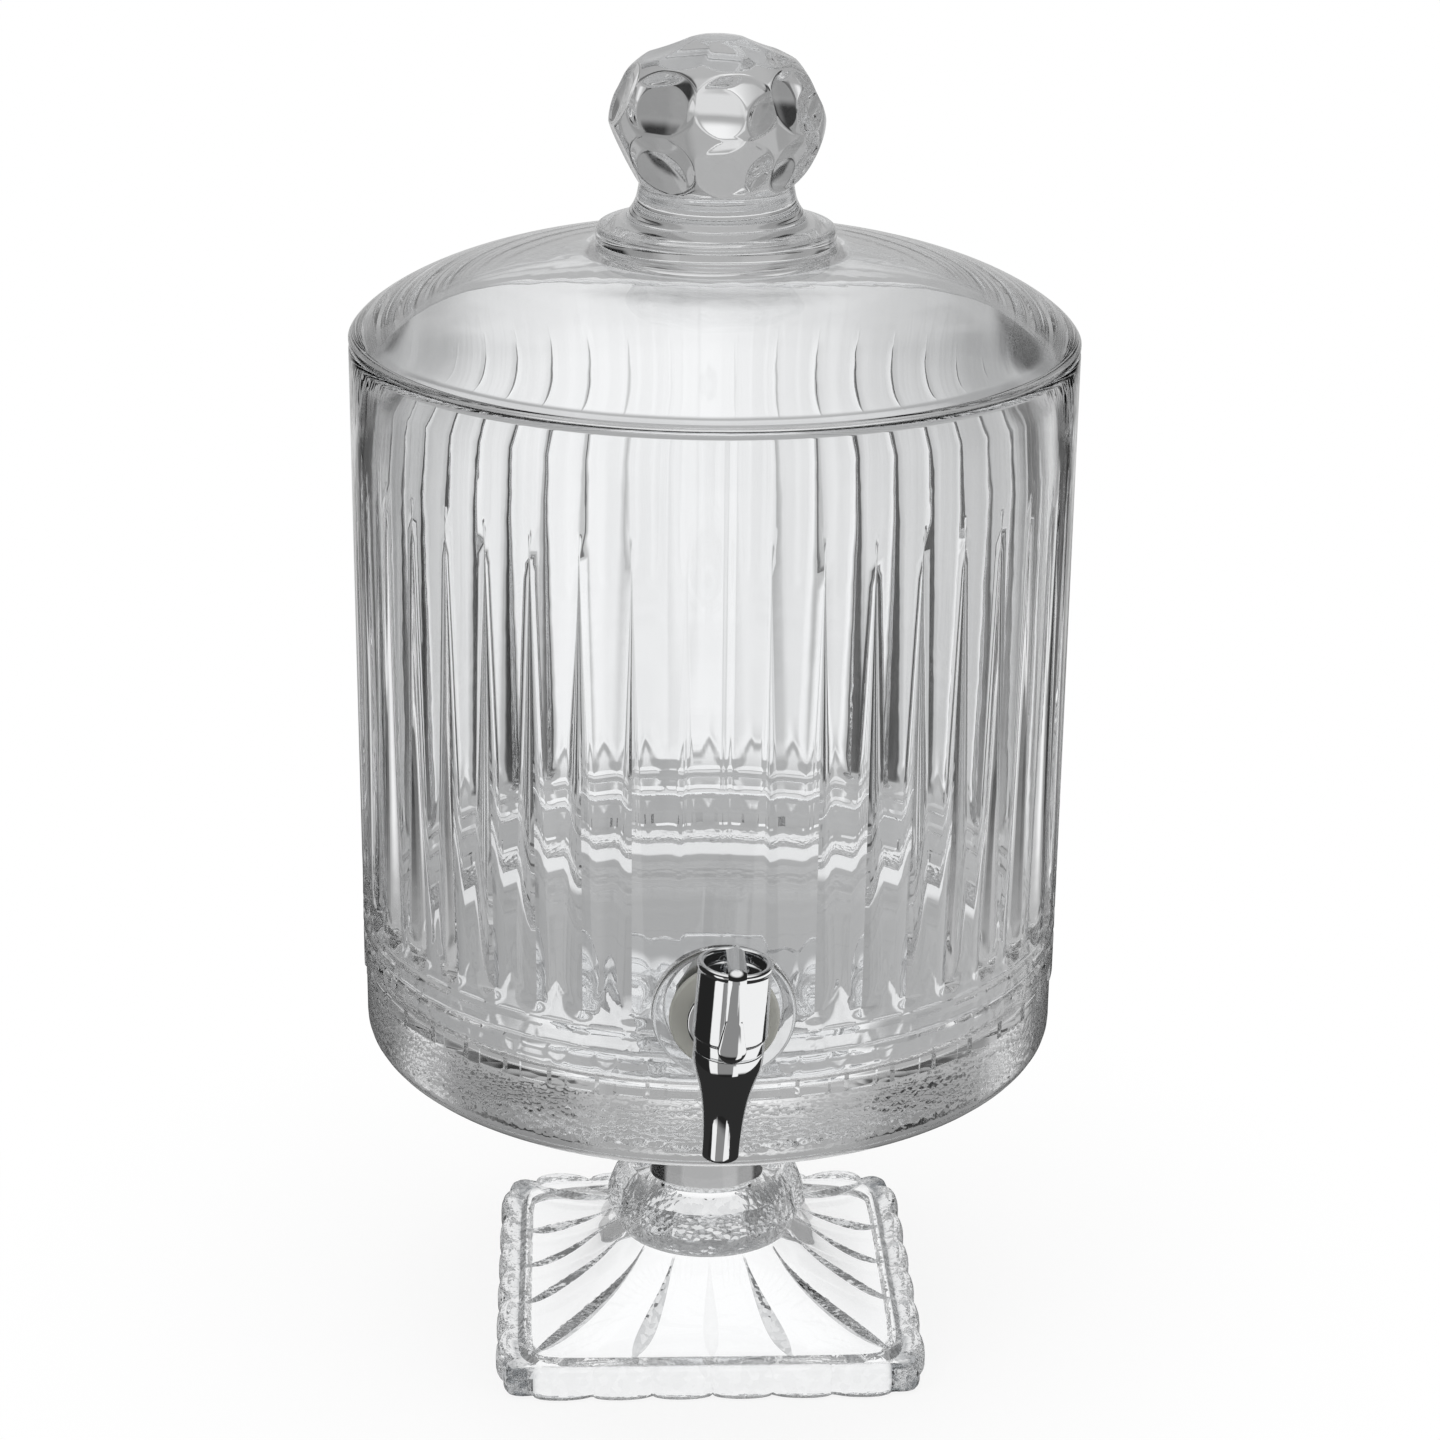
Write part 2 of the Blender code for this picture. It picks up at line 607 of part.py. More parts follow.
def make_tap_body():
    """The tap's body: neck, bulge, nozzle, flange and shank in one piece, bored through."""
    points = [
        (0, BODY_NECK_TOP),
        (BODY_NECK_RADIUS, BODY_NECK_TOP),
        (BODY_NECK_RADIUS, BULGE_TOP),
        (BULGE_RADIUS - BULGE_EDGE, BULGE_TOP),
        (BULGE_RADIUS, BULGE_TOP - BULGE_EDGE),
    ]
    for row in range(NOZZLE_ROWS + 1):
        depth = (BULGE_BOTTOM - NOZZLE_END) * row / NOZZLE_ROWS
        points.append((nozzle_radius(depth), BULGE_BOTTOM - depth))
    points.append((0, NOZZLE_END))
    body = place(turned("tap_body", points, TAP_COLUMNS), PARTS, TAP, (0, -TAP_REACH, 0))
    body = settled(body)
    shank_profile = [
        (0, SHANK_END),
        (SHANK_RADIUS, SHANK_END),
        (SHANK_RADIUS, FLANGE_FACE),
        (FLANGE_RADIUS, FLANGE_FACE),
        (FLANGE_RADIUS, FLANGE_FACE - FLANGE_THICKNESS),
        (SHANK_NECK_RADIUS, FLANGE_FACE - FLANGE_THICKNESS),
        (SHANK_NECK_RADIUS, CHAMBER_RADIUS / 2 - TAP_REACH),
        (0, CHAMBER_RADIUS / 2 - TAP_REACH),
    ]
    shank = turned("shank_tool", shank_profile, TAP_COLUMNS)
    place(shank, TOOLS, body, (0, TAP_REACH, 0), (math.radians(-90), 0, 0))
    combine(body, shank, "UNION")
    past = BULGE_EDGE
    chamber = rod_tool("chamber_tool", CHAMBER_RADIUS, SEAT_HEIGHT, BODY_NECK_TOP + past, "Z", body)
    nozzle = rod_tool("nozzle_bore_tool", NOZZLE_BORE, NOZZLE_END - past, SEAT_HEIGHT + past, "Z", body)
    inlet = rod_tool("shank_bore_tool", SHANK_BORE, 0, TAP_REACH + SHANK_END + past, "Y", body)
    combine(body, chamber, "DIFFERENCE")
    combine(body, nozzle, "DIFFERENCE")
    combine(body, inlet, "DIFFERENCE")
    return finished(body, CHROME)


def make_shank_rings():
    """The two seals, the clamping washer and the nut that hold the shank in the jar's wall."""
    turn = (math.radians(-90), 0, 0)
    rings = (
        ("outer_washer", OUTER_WASHER_RADIUS, OUTER_WASHER_FACE, OUTER_WASHER_THICKNESS, SILICONE),
        ("inner_washer", INNER_WASHER_RADIUS, INNER_WASHER_FACE, INNER_WASHER_THICKNESS, SILICONE),
        ("clamp_washer", CLAMP_WASHER_RADIUS, CLAMP_WASHER_FACE, CLAMP_WASHER_THICKNESS, STEEL),
    )
    for name, radius, face, thickness, finish in rings:
        profile = ring_profile(WASHER_BORE, radius, face, face + thickness)
        ring = place(turned(name, profile, TAP_COLUMNS, closed=True), PARTS, TAP, (0, 0, 0), turn)
        finished(settled(ring), finish)
    corner = NUT_ACROSS_FLATS / math.sqrt(3)
    nut_profile = [(0, NUT_FACE + NUT_THICKNESS), (corner, NUT_FACE + NUT_THICKNESS)]
    nut_profile += [(corner, NUT_FACE), (0, NUT_FACE)]
    nut = settled(place(turned("shank_nut", nut_profile, NUT_SIDES), PARTS, TAP, (0, 0, 0), turn))
    bore = rod_tool("nut_bore_tool", WASHER_BORE, NUT_FACE - GAP, NUT_FACE + NUT_THICKNESS + GAP, "Z", nut)
    combine(nut, bore, "DIFFERENCE")
    finished(nut, WHITE_PLASTIC)


def make_bonnet():
    """The barrel that screws on the body's neck, with an open dish on top and the spring's room inside."""
    stem_hole = STEM_ROD_RADIUS + STEM_HOLE_CLEARANCE
    points = [
        (stem_hole, DISH_TOP),
        (DISH_RADIUS, DISH_TOP),
        (DISH_RADIUS, BONNET_TOP - BONNET_EDGE),
        (DISH_RADIUS + BONNET_EDGE, BONNET_TOP),
        (BONNET_RADIUS - BONNET_EDGE, BONNET_TOP),
        (BONNET_RADIUS, BONNET_TOP - BONNET_EDGE),
        (BONNET_RADIUS, BONNET_BOTTOM + BONNET_EDGE),
        (BONNET_RADIUS - BONNET_EDGE, BONNET_BOTTOM),
        (BONNET_BORE, BONNET_BOTTOM),
        (BONNET_BORE, BONNET_SHOULDER),
        (SPRING_CHAMBER_RADIUS, BONNET_SHOULDER),
        (SPRING_CHAMBER_RADIUS, DISH_BOTTOM),
        (stem_hole, DISH_BOTTOM),
    ]
    bonnet = place(turned("tap_bonnet", points, TAP_COLUMNS, closed=True), PARTS, TAP, (0, -TAP_REACH, 0))
    return finished(settled(bonnet), CHROME)


def make_seat_cup():
    """The soft cup that closes the nozzle, clamped by its flange between bonnet and body."""
    bottom = SEAT_HEIGHT + GAP
    outer = CUP_BORE + CUP_WALL
    points = [
        (0, bottom + CUP_PLUG_THICKNESS),
        (CUP_BORE, bottom + CUP_PLUG_THICKNESS),
        (CUP_BORE, CUP_FLANGE_TOP),
        (BODY_NECK_RADIUS, CUP_FLANGE_TOP),
        (BODY_NECK_RADIUS, CUP_FLANGE_BOTTOM),
        (outer, CUP_FLANGE_BOTTOM),
        (outer, bottom + CUP_WALL),
        (outer - CUP_WALL / 2, bottom),
        (0, bottom),
    ]
    cup = place(turned("seat_cup", points, SMALL_COLUMNS), PARTS, TAP, (0, -TAP_REACH, 0))
    return finished(settled(cup), SILICONE)


def make_stem():
    """The valve stem: a foot in the seat cup, a flange under the spring and a round, flat eye for the pin."""
    points = arc((0, PIVOT_Z), STEM_ROD_RADIUS, 90, 0)
    points += [
        (STEM_ROD_RADIUS, STEM_FLANGE_TOP),
        (STEM_FLANGE_RADIUS, STEM_FLANGE_TOP),
        (STEM_FLANGE_RADIUS, STEM_FLANGE_BOTTOM),
        (STEM_FOOT_RADIUS, STEM_FLANGE_BOTTOM),
        (STEM_FOOT_RADIUS, STEM_BOTTOM),
        (0, STEM_BOTTOM),
    ]
    stem = place(turned("valve_stem", points, SMALL_COLUMNS), PARTS, TAP, (0, -TAP_REACH, 0))
    stem = settled(stem)
    flat_bottom = DISH_TOP - STEM_TRAVEL - GAP
    wide = 2 * STEM_ROD_RADIUS
    for side in (-1, 1):
        ends = sorted((side * EYE_THICKNESS / 2, side * wide))
        low = (ends[0], -wide, flat_bottom)
        high = (ends[1], wide, PIVOT_Z + wide)
        combine(stem, box_tool(f"eye_flat_tool_{side + 1}", low, high, stem), "DIFFERENCE")
    hole = rod_tool(
        "eye_hole_tool", PIN_RADIUS + PIN_CLEARANCE, -wide, wide, "X", stem, (0, 0, PIVOT_Z), PIN_COLUMNS
    )
    combine(stem, hole, "DIFFERENCE")
    return finished(stem, STEEL)


def spring_points():
    """Centres along the spring's wire, from the stem's flange up to the dish's underside."""
    radius = STEM_ROD_RADIUS + SPRING_SIDE_GAP + SPRING_WIRE
    bottom = STEM_FLANGE_TOP + GAP + SPRING_WIRE / 2
    top = DISH_BOTTOM - GAP - SPRING_WIRE / 2
    count = SPRING_TURNS * SPRING_POINTS_PER_TURN
    points = []
    for step in range(count + 1):
        angle = 2 * math.pi * step / SPRING_POINTS_PER_TURN
        height = mix(bottom, top, step / count)
        points.append(Vector((radius * math.cos(angle), radius * math.sin(angle), height)))
    return points


def least_self_gap(points):
    """The least clear gap between turns of the wire, over points at least half a turn apart."""
    apart = SPRING_POINTS_PER_TURN // 2
    least = math.inf
    for i, point in enumerate(points):
        for other in points[i + apart :]:
            least = min(least, (point - other).length - SPRING_WIRE)
    return least


def make_spring():
    """The coil spring that pushes the stem down on its seat."""
    points = spring_points()
    print(f"valve_spring: least gap between turns {least_self_gap(points) / MM:.2f} mm")
    curve = bpy.data.curves.new("valve_spring", "CURVE")
    curve.dimensions = "3D"
    curve.bevel_depth = SPRING_WIRE / 2
    curve.bevel_resolution = 1
    curve.use_fill_caps = True
    spline = curve.splines.new("POLY")
    spline.points.add(len(points) - 1)
    for spot, point in zip(spline.points, points):
        spot.co = (*point, 1)
    spring = place(bpy.data.objects.new("valve_spring", curve), PARTS, TAP, (0, -TAP_REACH, 0))
    return finished(spring, STEEL)


def cam_points():
    """The heel's curve, which lifts the stem evenly as the lever swings: an involute about the pin."""
    rate = STEM_TRAVEL / LEVER_SWING
    points = []
    steps = 2 * ARC_STEPS
    for step in range(steps + 1):
        angle = LEVER_SWING * step / steps
        support = HUB_DEPTH + rate * angle
        y = support * math.sin(angle) + rate * math.cos(angle)
        z = -support * math.cos(angle) + rate * math.sin(angle)
        points.append((y, z))
    return points


def make_lever():
    """The lever: a forked hub on the stem's pin, an arm over the rim and a tongue down the barrel's front."""
    bend = (LEVER_BEND - LEVER_INNER, ARM_UNDERSIDE - LEVER_BEND)
    tip_centre = -LEVER_LENGTH + LEVER_TIP_RADIUS
    side = cam_points()
    side += [(HUB_REACH - LEVER_THICKNESS, ARM_TOP)]
    side += arc(bend, LEVER_BEND + LEVER_THICKNESS, 90, 180)
    side += [(-LEVER_OUTER, tip_centre), (-LEVER_INNER, tip_centre)]
    side += arc(bend, LEVER_BEND, 180, 90)
    side += [(-HUB_FRONT, ARM_UNDERSIDE), (-HUB_FRONT, -HUB_DEPTH)]
    pin_place = (0, -TAP_REACH, PIVOT_Z)
    sideways = Matrix(((0, 0, 1), (1, 0, 0), (0, 1, 0))).to_4x4()
    lever = plate("tap_lever", side, LEVER_WIDTH, sideways, PARTS, TAP, pin_place)

    tip = arc((0, tip_centre), LEVER_TIP_RADIUS, 0, -180, 3 * ARC_STEPS)
    half_top = LEVER_WIDTH / 2 - LEVER_TIP_PROUD
    tip += [(-half_top, tip_centre + LEVER_TIP_TAPER), (half_top, tip_centre + LEVER_TIP_TAPER)]
    tip_depth = -(LEVER_INNER + LEVER_OUTER) / 2
    tip_thickness = LEVER_THICKNESS + 2 * LEVER_TIP_PROUD
    facing = Matrix.Rotation(math.radians(90), 4, "X")
    paddle = plate("lever_tip_tool", tip, tip_thickness, facing, TOOLS, lever, (0, tip_depth, 0))
    combine(lever, paddle, "UNION")

    slot_half = EYE_THICKNESS / 2 + EYE_SIDE_GAP
    eye_room = STEM_ROD_RADIUS + EYE_SIDE_GAP
    slot_low = (-slot_half, -eye_room, -2 * HUB_REACH)
    slot_high = (slot_half, 2 * HUB_REACH, eye_room)
    combine(lever, box_tool("eye_slot_tool", slot_low, slot_high, lever), "DIFFERENCE")
    hole = rod_tool(
        "pin_hole_tool", PIN_RADIUS + PIN_CLEARANCE, -LEVER_WIDTH, LEVER_WIDTH, "X", lever, steps=PIN_COLUMNS
    )
    combine(lever, hole, "DIFFERENCE")
    finished(lever, CHROME)

    reach = LEVER_WIDTH / 2 + PIN_SPARE
    pin_profile = [(0, reach), (PIN_RADIUS, reach), (PIN_RADIUS, -reach), (0, -reach)]
    pin = turned("lever_pin", pin_profile, PIN_COLUMNS)
    pin = place(pin, PARTS, TAP, pin_place, (0, math.radians(90), 0))
    finished(settled(pin), STEEL)


clear_scene()
PARTS = new_collection("glass_tap_dispenser")
TOOLS = new_collection("cutters")
GLASS = new_finish("clear_glass", (0.93, 0.95, 0.96), 0.02, transmission=1.0)
CHROME = new_finish("polished_chrome", (0.82, 0.83, 0.84), 0.06, metallic=1.0)
STEEL = new_finish("stainless_steel", (0.62, 0.63, 0.64), 0.25, metallic=1.0)
SILICONE = new_finish("grey_silicone", (0.72, 0.73, 0.69), 0.45, transmission=0.4)
WHITE_PLASTIC = new_finish("white_plastic", (0.86, 0.86, 0.84), 0.4)
AXIS = new_empty("dispenser_axis", None, (0, AXIS_Y, 0))
TAP = new_empty("tap_axis", AXIS, (0, -PAD_FACE, JAR_BOTTOM + TAP_HEIGHT), (0, TAP_LEAN, 0))

make_foot()
make_jar()
make_knob(make_lid())
make_tap_body()
make_shank_rings()
make_bonnet()
make_seat_cup()
make_stem()
make_spring()
make_lever()
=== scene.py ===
"""Looks of the footed glass dispenser jar: pressed glass, a chrome lever tap, studio light and camera.

Every piece is built about its own axis in metres, moved to its place in the mesh and tied to the body that
carries it. The main sizes repeat the solid model; relief, small roundings and the grain are added here.
"""

import json
import logging
import math
from dataclasses import dataclass
from enum import Enum
from functools import cache
from typing import Sequence, Union

import bmesh
import bpy
import numpy as np
from mathutils import Matrix, Vector


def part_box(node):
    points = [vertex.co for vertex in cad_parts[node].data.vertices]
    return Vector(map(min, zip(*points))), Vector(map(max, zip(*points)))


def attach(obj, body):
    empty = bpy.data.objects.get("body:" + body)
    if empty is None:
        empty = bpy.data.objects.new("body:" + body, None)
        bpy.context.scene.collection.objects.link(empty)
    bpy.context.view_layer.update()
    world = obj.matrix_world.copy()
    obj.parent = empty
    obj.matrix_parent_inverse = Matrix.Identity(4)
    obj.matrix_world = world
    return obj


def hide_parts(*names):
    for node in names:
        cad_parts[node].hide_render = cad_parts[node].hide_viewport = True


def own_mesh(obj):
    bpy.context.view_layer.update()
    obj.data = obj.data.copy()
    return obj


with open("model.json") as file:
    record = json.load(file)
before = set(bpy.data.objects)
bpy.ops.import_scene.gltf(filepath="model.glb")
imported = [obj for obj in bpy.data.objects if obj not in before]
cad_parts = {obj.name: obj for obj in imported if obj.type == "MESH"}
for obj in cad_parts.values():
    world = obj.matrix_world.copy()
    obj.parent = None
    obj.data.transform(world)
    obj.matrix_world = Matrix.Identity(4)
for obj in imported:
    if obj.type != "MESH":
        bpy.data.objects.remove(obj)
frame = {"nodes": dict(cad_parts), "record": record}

LOG = logging.getLogger("dispenser")
MM = 0.001
TURN = 2 * math.pi
QUARTER = TURN / 4
AXIS_Y = 21.35 * MM
JAR_AXIS = Matrix.Translation((0, AXIS_Y, 0))
ALONG_SHANK = Matrix.Rotation(-QUARTER, 4, "X")
GRAIN = "grain"
MERGE = 1e-7
SEWN = 0.001 * MM
TINY = 1e-9
ON_AXIS = 1e-6
LEAST_RADIUS = 1 * MM
CIRCLE = 2.0

Point = tuple[float, float]
Colour = tuple[float, float, float]
Operand = Union["Signal", float]


class Body(Enum):
    """The bodies that carry the pieces built here."""

    JAR = "jar"
    LID = "lid"
    LEVER = "lever"


class Cut(Enum):
    """How a tool changes the piece it meets."""

    JOIN = "UNION"
    REMOVE = "DIFFERENCE"


# Building meshes


def arc(centre: Point, radius: float, start: float, end: float, steps: int) -> list[Point]:
    """Points of an arc in the plane of a profile.

    Args:
        centre: Middle of the arc.
        radius: Its radius.
        start: First angle in degrees from the first axis.
        end: Last angle in degrees.
        steps: Number of segments.

    Returns:
        The points from start to end.
    """
    angles = np.radians(np.linspace(start, end, steps + 1))
    return [(centre[0] + radius * math.cos(a), centre[1] + radius * math.sin(a)) for a in angles]


def rounded(corner: Point, radius: float, start: float, end: float, steps: int = 5) -> list[Point]:
    """Points of the quarter arc that rounds a square corner of a profile.

    Args:
        corner: The corner before it is rounded.
        radius: Radius of the rounding.
        start: First angle in degrees, a multiple of 90.
        end: Last angle in degrees, 90 from the first.
        steps: Number of segments.

    Returns:
        The points from start to end.
    """
    ends = np.radians((start, end))
    side = round(np.cos(ends).sum())
    level = round(np.sin(ends).sum())
    return arc((corner[0] - side * radius, corner[1] - level * radius), radius, start, end, steps)


def around(radii: np.ndarray | float, angles: np.ndarray, heights: np.ndarray | float) -> np.ndarray:
    """Points at radii, angles and heights about the vertical axis."""
    places = np.broadcast_arrays(radii * np.cos(angles), radii * np.sin(angles), heights)
    return np.stack(places, axis=-1)


def even_columns(count: int) -> np.ndarray:
    """Even places of the columns across one flute's pitch, from -0.5 up to 0.5."""
    return np.arange(count) / count - 0.5


def follow(even: np.ndarray, kept: float, used: float) -> np.ndarray:
    """Moves the columns of a pitch so that those of the flute keep to its edges.

    Args:
        even: Even places of the columns.
        kept: Half width of the flute's columns among the even ones.
        used: Half width that they take up instead.

    Returns:
        The new places, with the other columns spread over the rest of the pitch.
    """
    stretch = (0.5 - used) / (0.5 - kept)
    outside = np.sign(even) * (0.5 - (0.5 - np.abs(even)) * stretch)
    return np.where(np.abs(even) <= kept + TINY, even / kept * used, outside)


def new_object(
    name: str, verts: np.ndarray, faces: Sequence[Sequence[int]], grain: np.ndarray | None = None
) -> bpy.types.Object:
    """Makes a closed mesh object with its doubles merged and its faces outwards.

    Args:
        name: Name of the object.
        verts: Corner points.
        faces: Corner numbers of each face.
        grain: How strongly the mould's grain and its painted shade mark each corner, from 0 to 1.

    Returns:
        The linked object.
    """
    mesh = bpy.data.meshes.new(name)
    mesh.from_pydata(verts.tolist(), [], faces)
    if grain is not None:
        mesh.attributes.new(GRAIN, "FLOAT", "POINT").data.foreach_set("value", grain.astype(np.float32))
    work = bmesh.new()
    work.from_mesh(mesh)
    bmesh.ops.remove_doubles(work, verts=work.verts, dist=MERGE)
    bmesh.ops.dissolve_degenerate(work, edges=work.edges, dist=MERGE)
    bmesh.ops.recalc_face_normals(work, faces=work.faces)
    work.to_mesh(mesh)
    work.free()
    obj = bpy.data.objects.new(name, mesh)
    bpy.context.scene.collection.objects.link(obj)
    return obj


def skin(
    name: str, rings: np.ndarray, looped: bool = False, grain: np.ndarray | None = None
) -> bpy.types.Object:
    """Skins rings of equal count into a closed mesh.

    Args:
        name: Name of the object.
        rings: Points by ring, place along the ring and coordinate.
        looped: Whether the last ring joins the first, as in a ring with a hole.
        grain: How strongly the mould's grain and its painted shade mark each point, by ring and place along
            it.

    Returns:
        The object. Without a loop, its first and last rings are capped.
    """
    rows, count = rings.shape[:2]
    index = np.arange(rows * count).reshape(rows, count)
    if looped:
        index = np.vstack([index, index[:1]])
    beside = np.roll(index, -1, axis=1)
    quads = np.stack([index[:-1], beside[:-1], beside[1:], index[1:]], axis=-1).reshape(-1, 4).tolist()
    if not looped:
        quads.append(index[0, ::-1].tolist())
        quads.append(index[-1].tolist())
    return new_object(name, rings.reshape(-1, 3), quads, None if grain is None else grain.ravel())


def turned(name: str, profile: Sequence[Point], columns: int, looped: bool = False) -> bpy.types.Object:
    """Spins a profile about the vertical axis.

    Args:
        name: Name of the object.
        profile: Radius and height of each ring.
        columns: Number of segments round the axis.
        looped: Whether the profile closes on itself.

    Returns:
        The turned object.
    """
    places = np.array(profile)
    return skin(name, around(places[:, :1], np.arange(columns) / columns * TURN, places[:, 1:]), looped)


def rod(
    name: str, radius: float, low: float, high: float, turn: Matrix = Matrix.Identity(4), columns: int = 64
) -> bpy.types.Object:
    """Makes a cylinder along the vertical axis and turns it.

    Args:
        name: Name of the object.
        radius: Its radius.
        low: Lower end.
        high: Upper end.
        turn: Matrix applied to it.
        columns: Number of segments round the axis.

    Returns:
        The cylinder.
    """
    obj = turned(name, [(0.0, high), (radius, high), (radius, low), (0.0, low)], columns)
    obj.data.transform(turn)
    return obj


def plate(name: str, outline: Sequence[Point], thickness: float, turn: Matrix) -> bpy.types.Object:
    """Makes a flat plate, thick to both sides of its plane, and turns it.

    Args:
        name: Name of the object.
        outline: Corner points in the plate's own plane.
        thickness: Whole thickness.
        turn: Matrix that turns and places the plate.

    Returns:
        The plate.
    """
    flat = np.array(outline)
    sides = [np.column_stack([flat, np.full(len(flat), side * thickness)]) for side in (-0.5, 0.5)]
    obj = skin(name, np.array(sides))
    obj.data.transform(turn)
    return obj


def settle(obj: bpy.types.Object) -> bpy.types.Object:
    """Replaces an object's mesh by its evaluated mesh and removes its modifiers.

    Args:
        obj: The object.

    Returns:
        The same object.
    """
    bpy.context.view_layer.update()
    graph = bpy.context.evaluated_depsgraph_get()
    evaluated = obj.evaluated_get(graph)
    mesh = bpy.data.meshes.new_from_object(evaluated, preserve_all_data_layers=True, depsgraph=graph)
    obj.modifiers.clear()
    obj.data = mesh
    return obj


def carve(obj: bpy.types.Object, cut: Cut, *tools: bpy.types.Object) -> bpy.types.Object:
    """Joins tools to a piece or removes them from it, and deletes the tools.

    Args:
        obj: The piece.
        cut: Whether to join or to remove.
        tools: Closed mesh objects in the same place.

    Returns:
        The piece.
    """
    for tool in tools:
        modifier = obj.modifiers.new(tool.name, "BOOLEAN")
        modifier.operation = cut.value
        modifier.solver = "EXACT"
        modifier.object = tool
    settle(obj)
    for tool in tools:
        bpy.data.objects.remove(tool, do_unlink=True)
    return obj


def soften(obj: bpy.types.Object, width: float, segments: int = 3, angle: float = 30) -> bpy.types.Object:
    """Rounds the sharp edges of a piece.

    Args:
        obj: The piece.
        width: Width of the rounding.
        segments: Faces across it.
        angle: Edges sharper than this many degrees are rounded.

    Returns:
        The piece.
    """
    modifier = obj.modifiers.new("rounding", "BEVEL")
    modifier.width = width
    modifier.segments = segments
    modifier.limit_method = "ANGLE"
    modifier.angle_limit = math.radians(angle)
    modifier.use_clamp_overlap = True
    return settle(obj)


def dress(
    obj: bpy.types.Object,
    finish: "Finish",
    body: Body,
    nodes: Sequence[str],
    place: Matrix = Matrix.Identity(4),
    smooth: float = 30,
) -> bpy.types.Object:
    """Moves a finished piece to its place, gives it its material and ties it to its body.

    Args:
        obj: The piece, built about its own axis.
        finish: The finish that it gets.
        body: The body that carries it.
        nodes: Solids that it stands for.
        place: Matrix from the piece's own axis to the world.
        smooth: Edges sharper than this many degrees stay sharp.

    Returns:
        The piece.
    """
    obj.data.transform(place)
    obj.data.materials.clear()
    obj.data.materials.append(finish.material())
    obj.data.shade_smooth()
    obj.data.set_sharp_from_angle(angle=math.radians(smooth))
    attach(obj, body.value)
    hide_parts(*nodes)
    LOG.info("%s: %d faces on %s", obj.name, len(obj.data.polygons), body.value)
    return obj


# Writing node trees


@dataclass(frozen=True)
class Band:
    """A range of values with soft ends."""

    low: float
    high: float
    soft: float


class Signal:
    """A value in a node tree. Its arithmetic writes math nodes into the tree."""

    def __init__(self, write: "NodeWriter", socket: bpy.types.NodeSocket) -> None:
        """Keeps the tree's writer and the output that carries the value."""
        self.write = write
        self.socket = socket

    def __add__(self, other: Operand) -> "Signal":
        """This value plus another."""
        return self.write.math("ADD", self, other)

    def __sub__(self, other: Operand) -> "Signal":
        """This value less another."""
        return self.write.math("SUBTRACT", self, other)

    def __rsub__(self, other: float) -> "Signal":
        """A number less this value."""
        return self.write.math("SUBTRACT", other, self)

    def __mul__(self, other: Operand) -> "Signal":
        """This value times another."""
        return self.write.math("MULTIPLY", self, other)

    def __truediv__(self, other: Operand) -> "Signal":
        """This value over another."""
        return self.write.math("DIVIDE", self, other)

    def __pow__(self, power: float) -> "Signal":
        """This value to a power."""
        return self.write.math("POWER", self, power)

    def __neg__(self) -> "Signal":
        """This value with its sign changed."""
        return self.write.math("MULTIPLY", self, -1.0)

    def __abs__(self) -> "Signal":
        """This value without its sign."""
        return self.write.math("ABSOLUTE", self)

    def __lt__(self, other: Operand) -> "Signal":
        """1 where this value is less than another, else 0."""
        return self.write.math("LESS_THAN", self, other)

    def __gt__(self, other: Operand) -> "Signal":
        """1 where this value is more than another, else 0."""
        return self.write.math("GREATER_THAN", self, other)

    def most(self, other: Operand) -> "Signal":
        """The greater of this value and another."""
        return self.write.math("MAXIMUM", self, other)

    def least(self, other: Operand) -> "Signal":
        """The smaller of this value and another."""
        return self.write.math("MINIMUM", self, other)

    def root(self) -> "Signal":
        """The square root of this value."""
        return self.write.math("SQRT", self)

    def zigzag(self, top: float) -> "Signal":
        """This value folded to and fro between 0 and a top."""
        return self.write.math("PINGPONG", self, top)


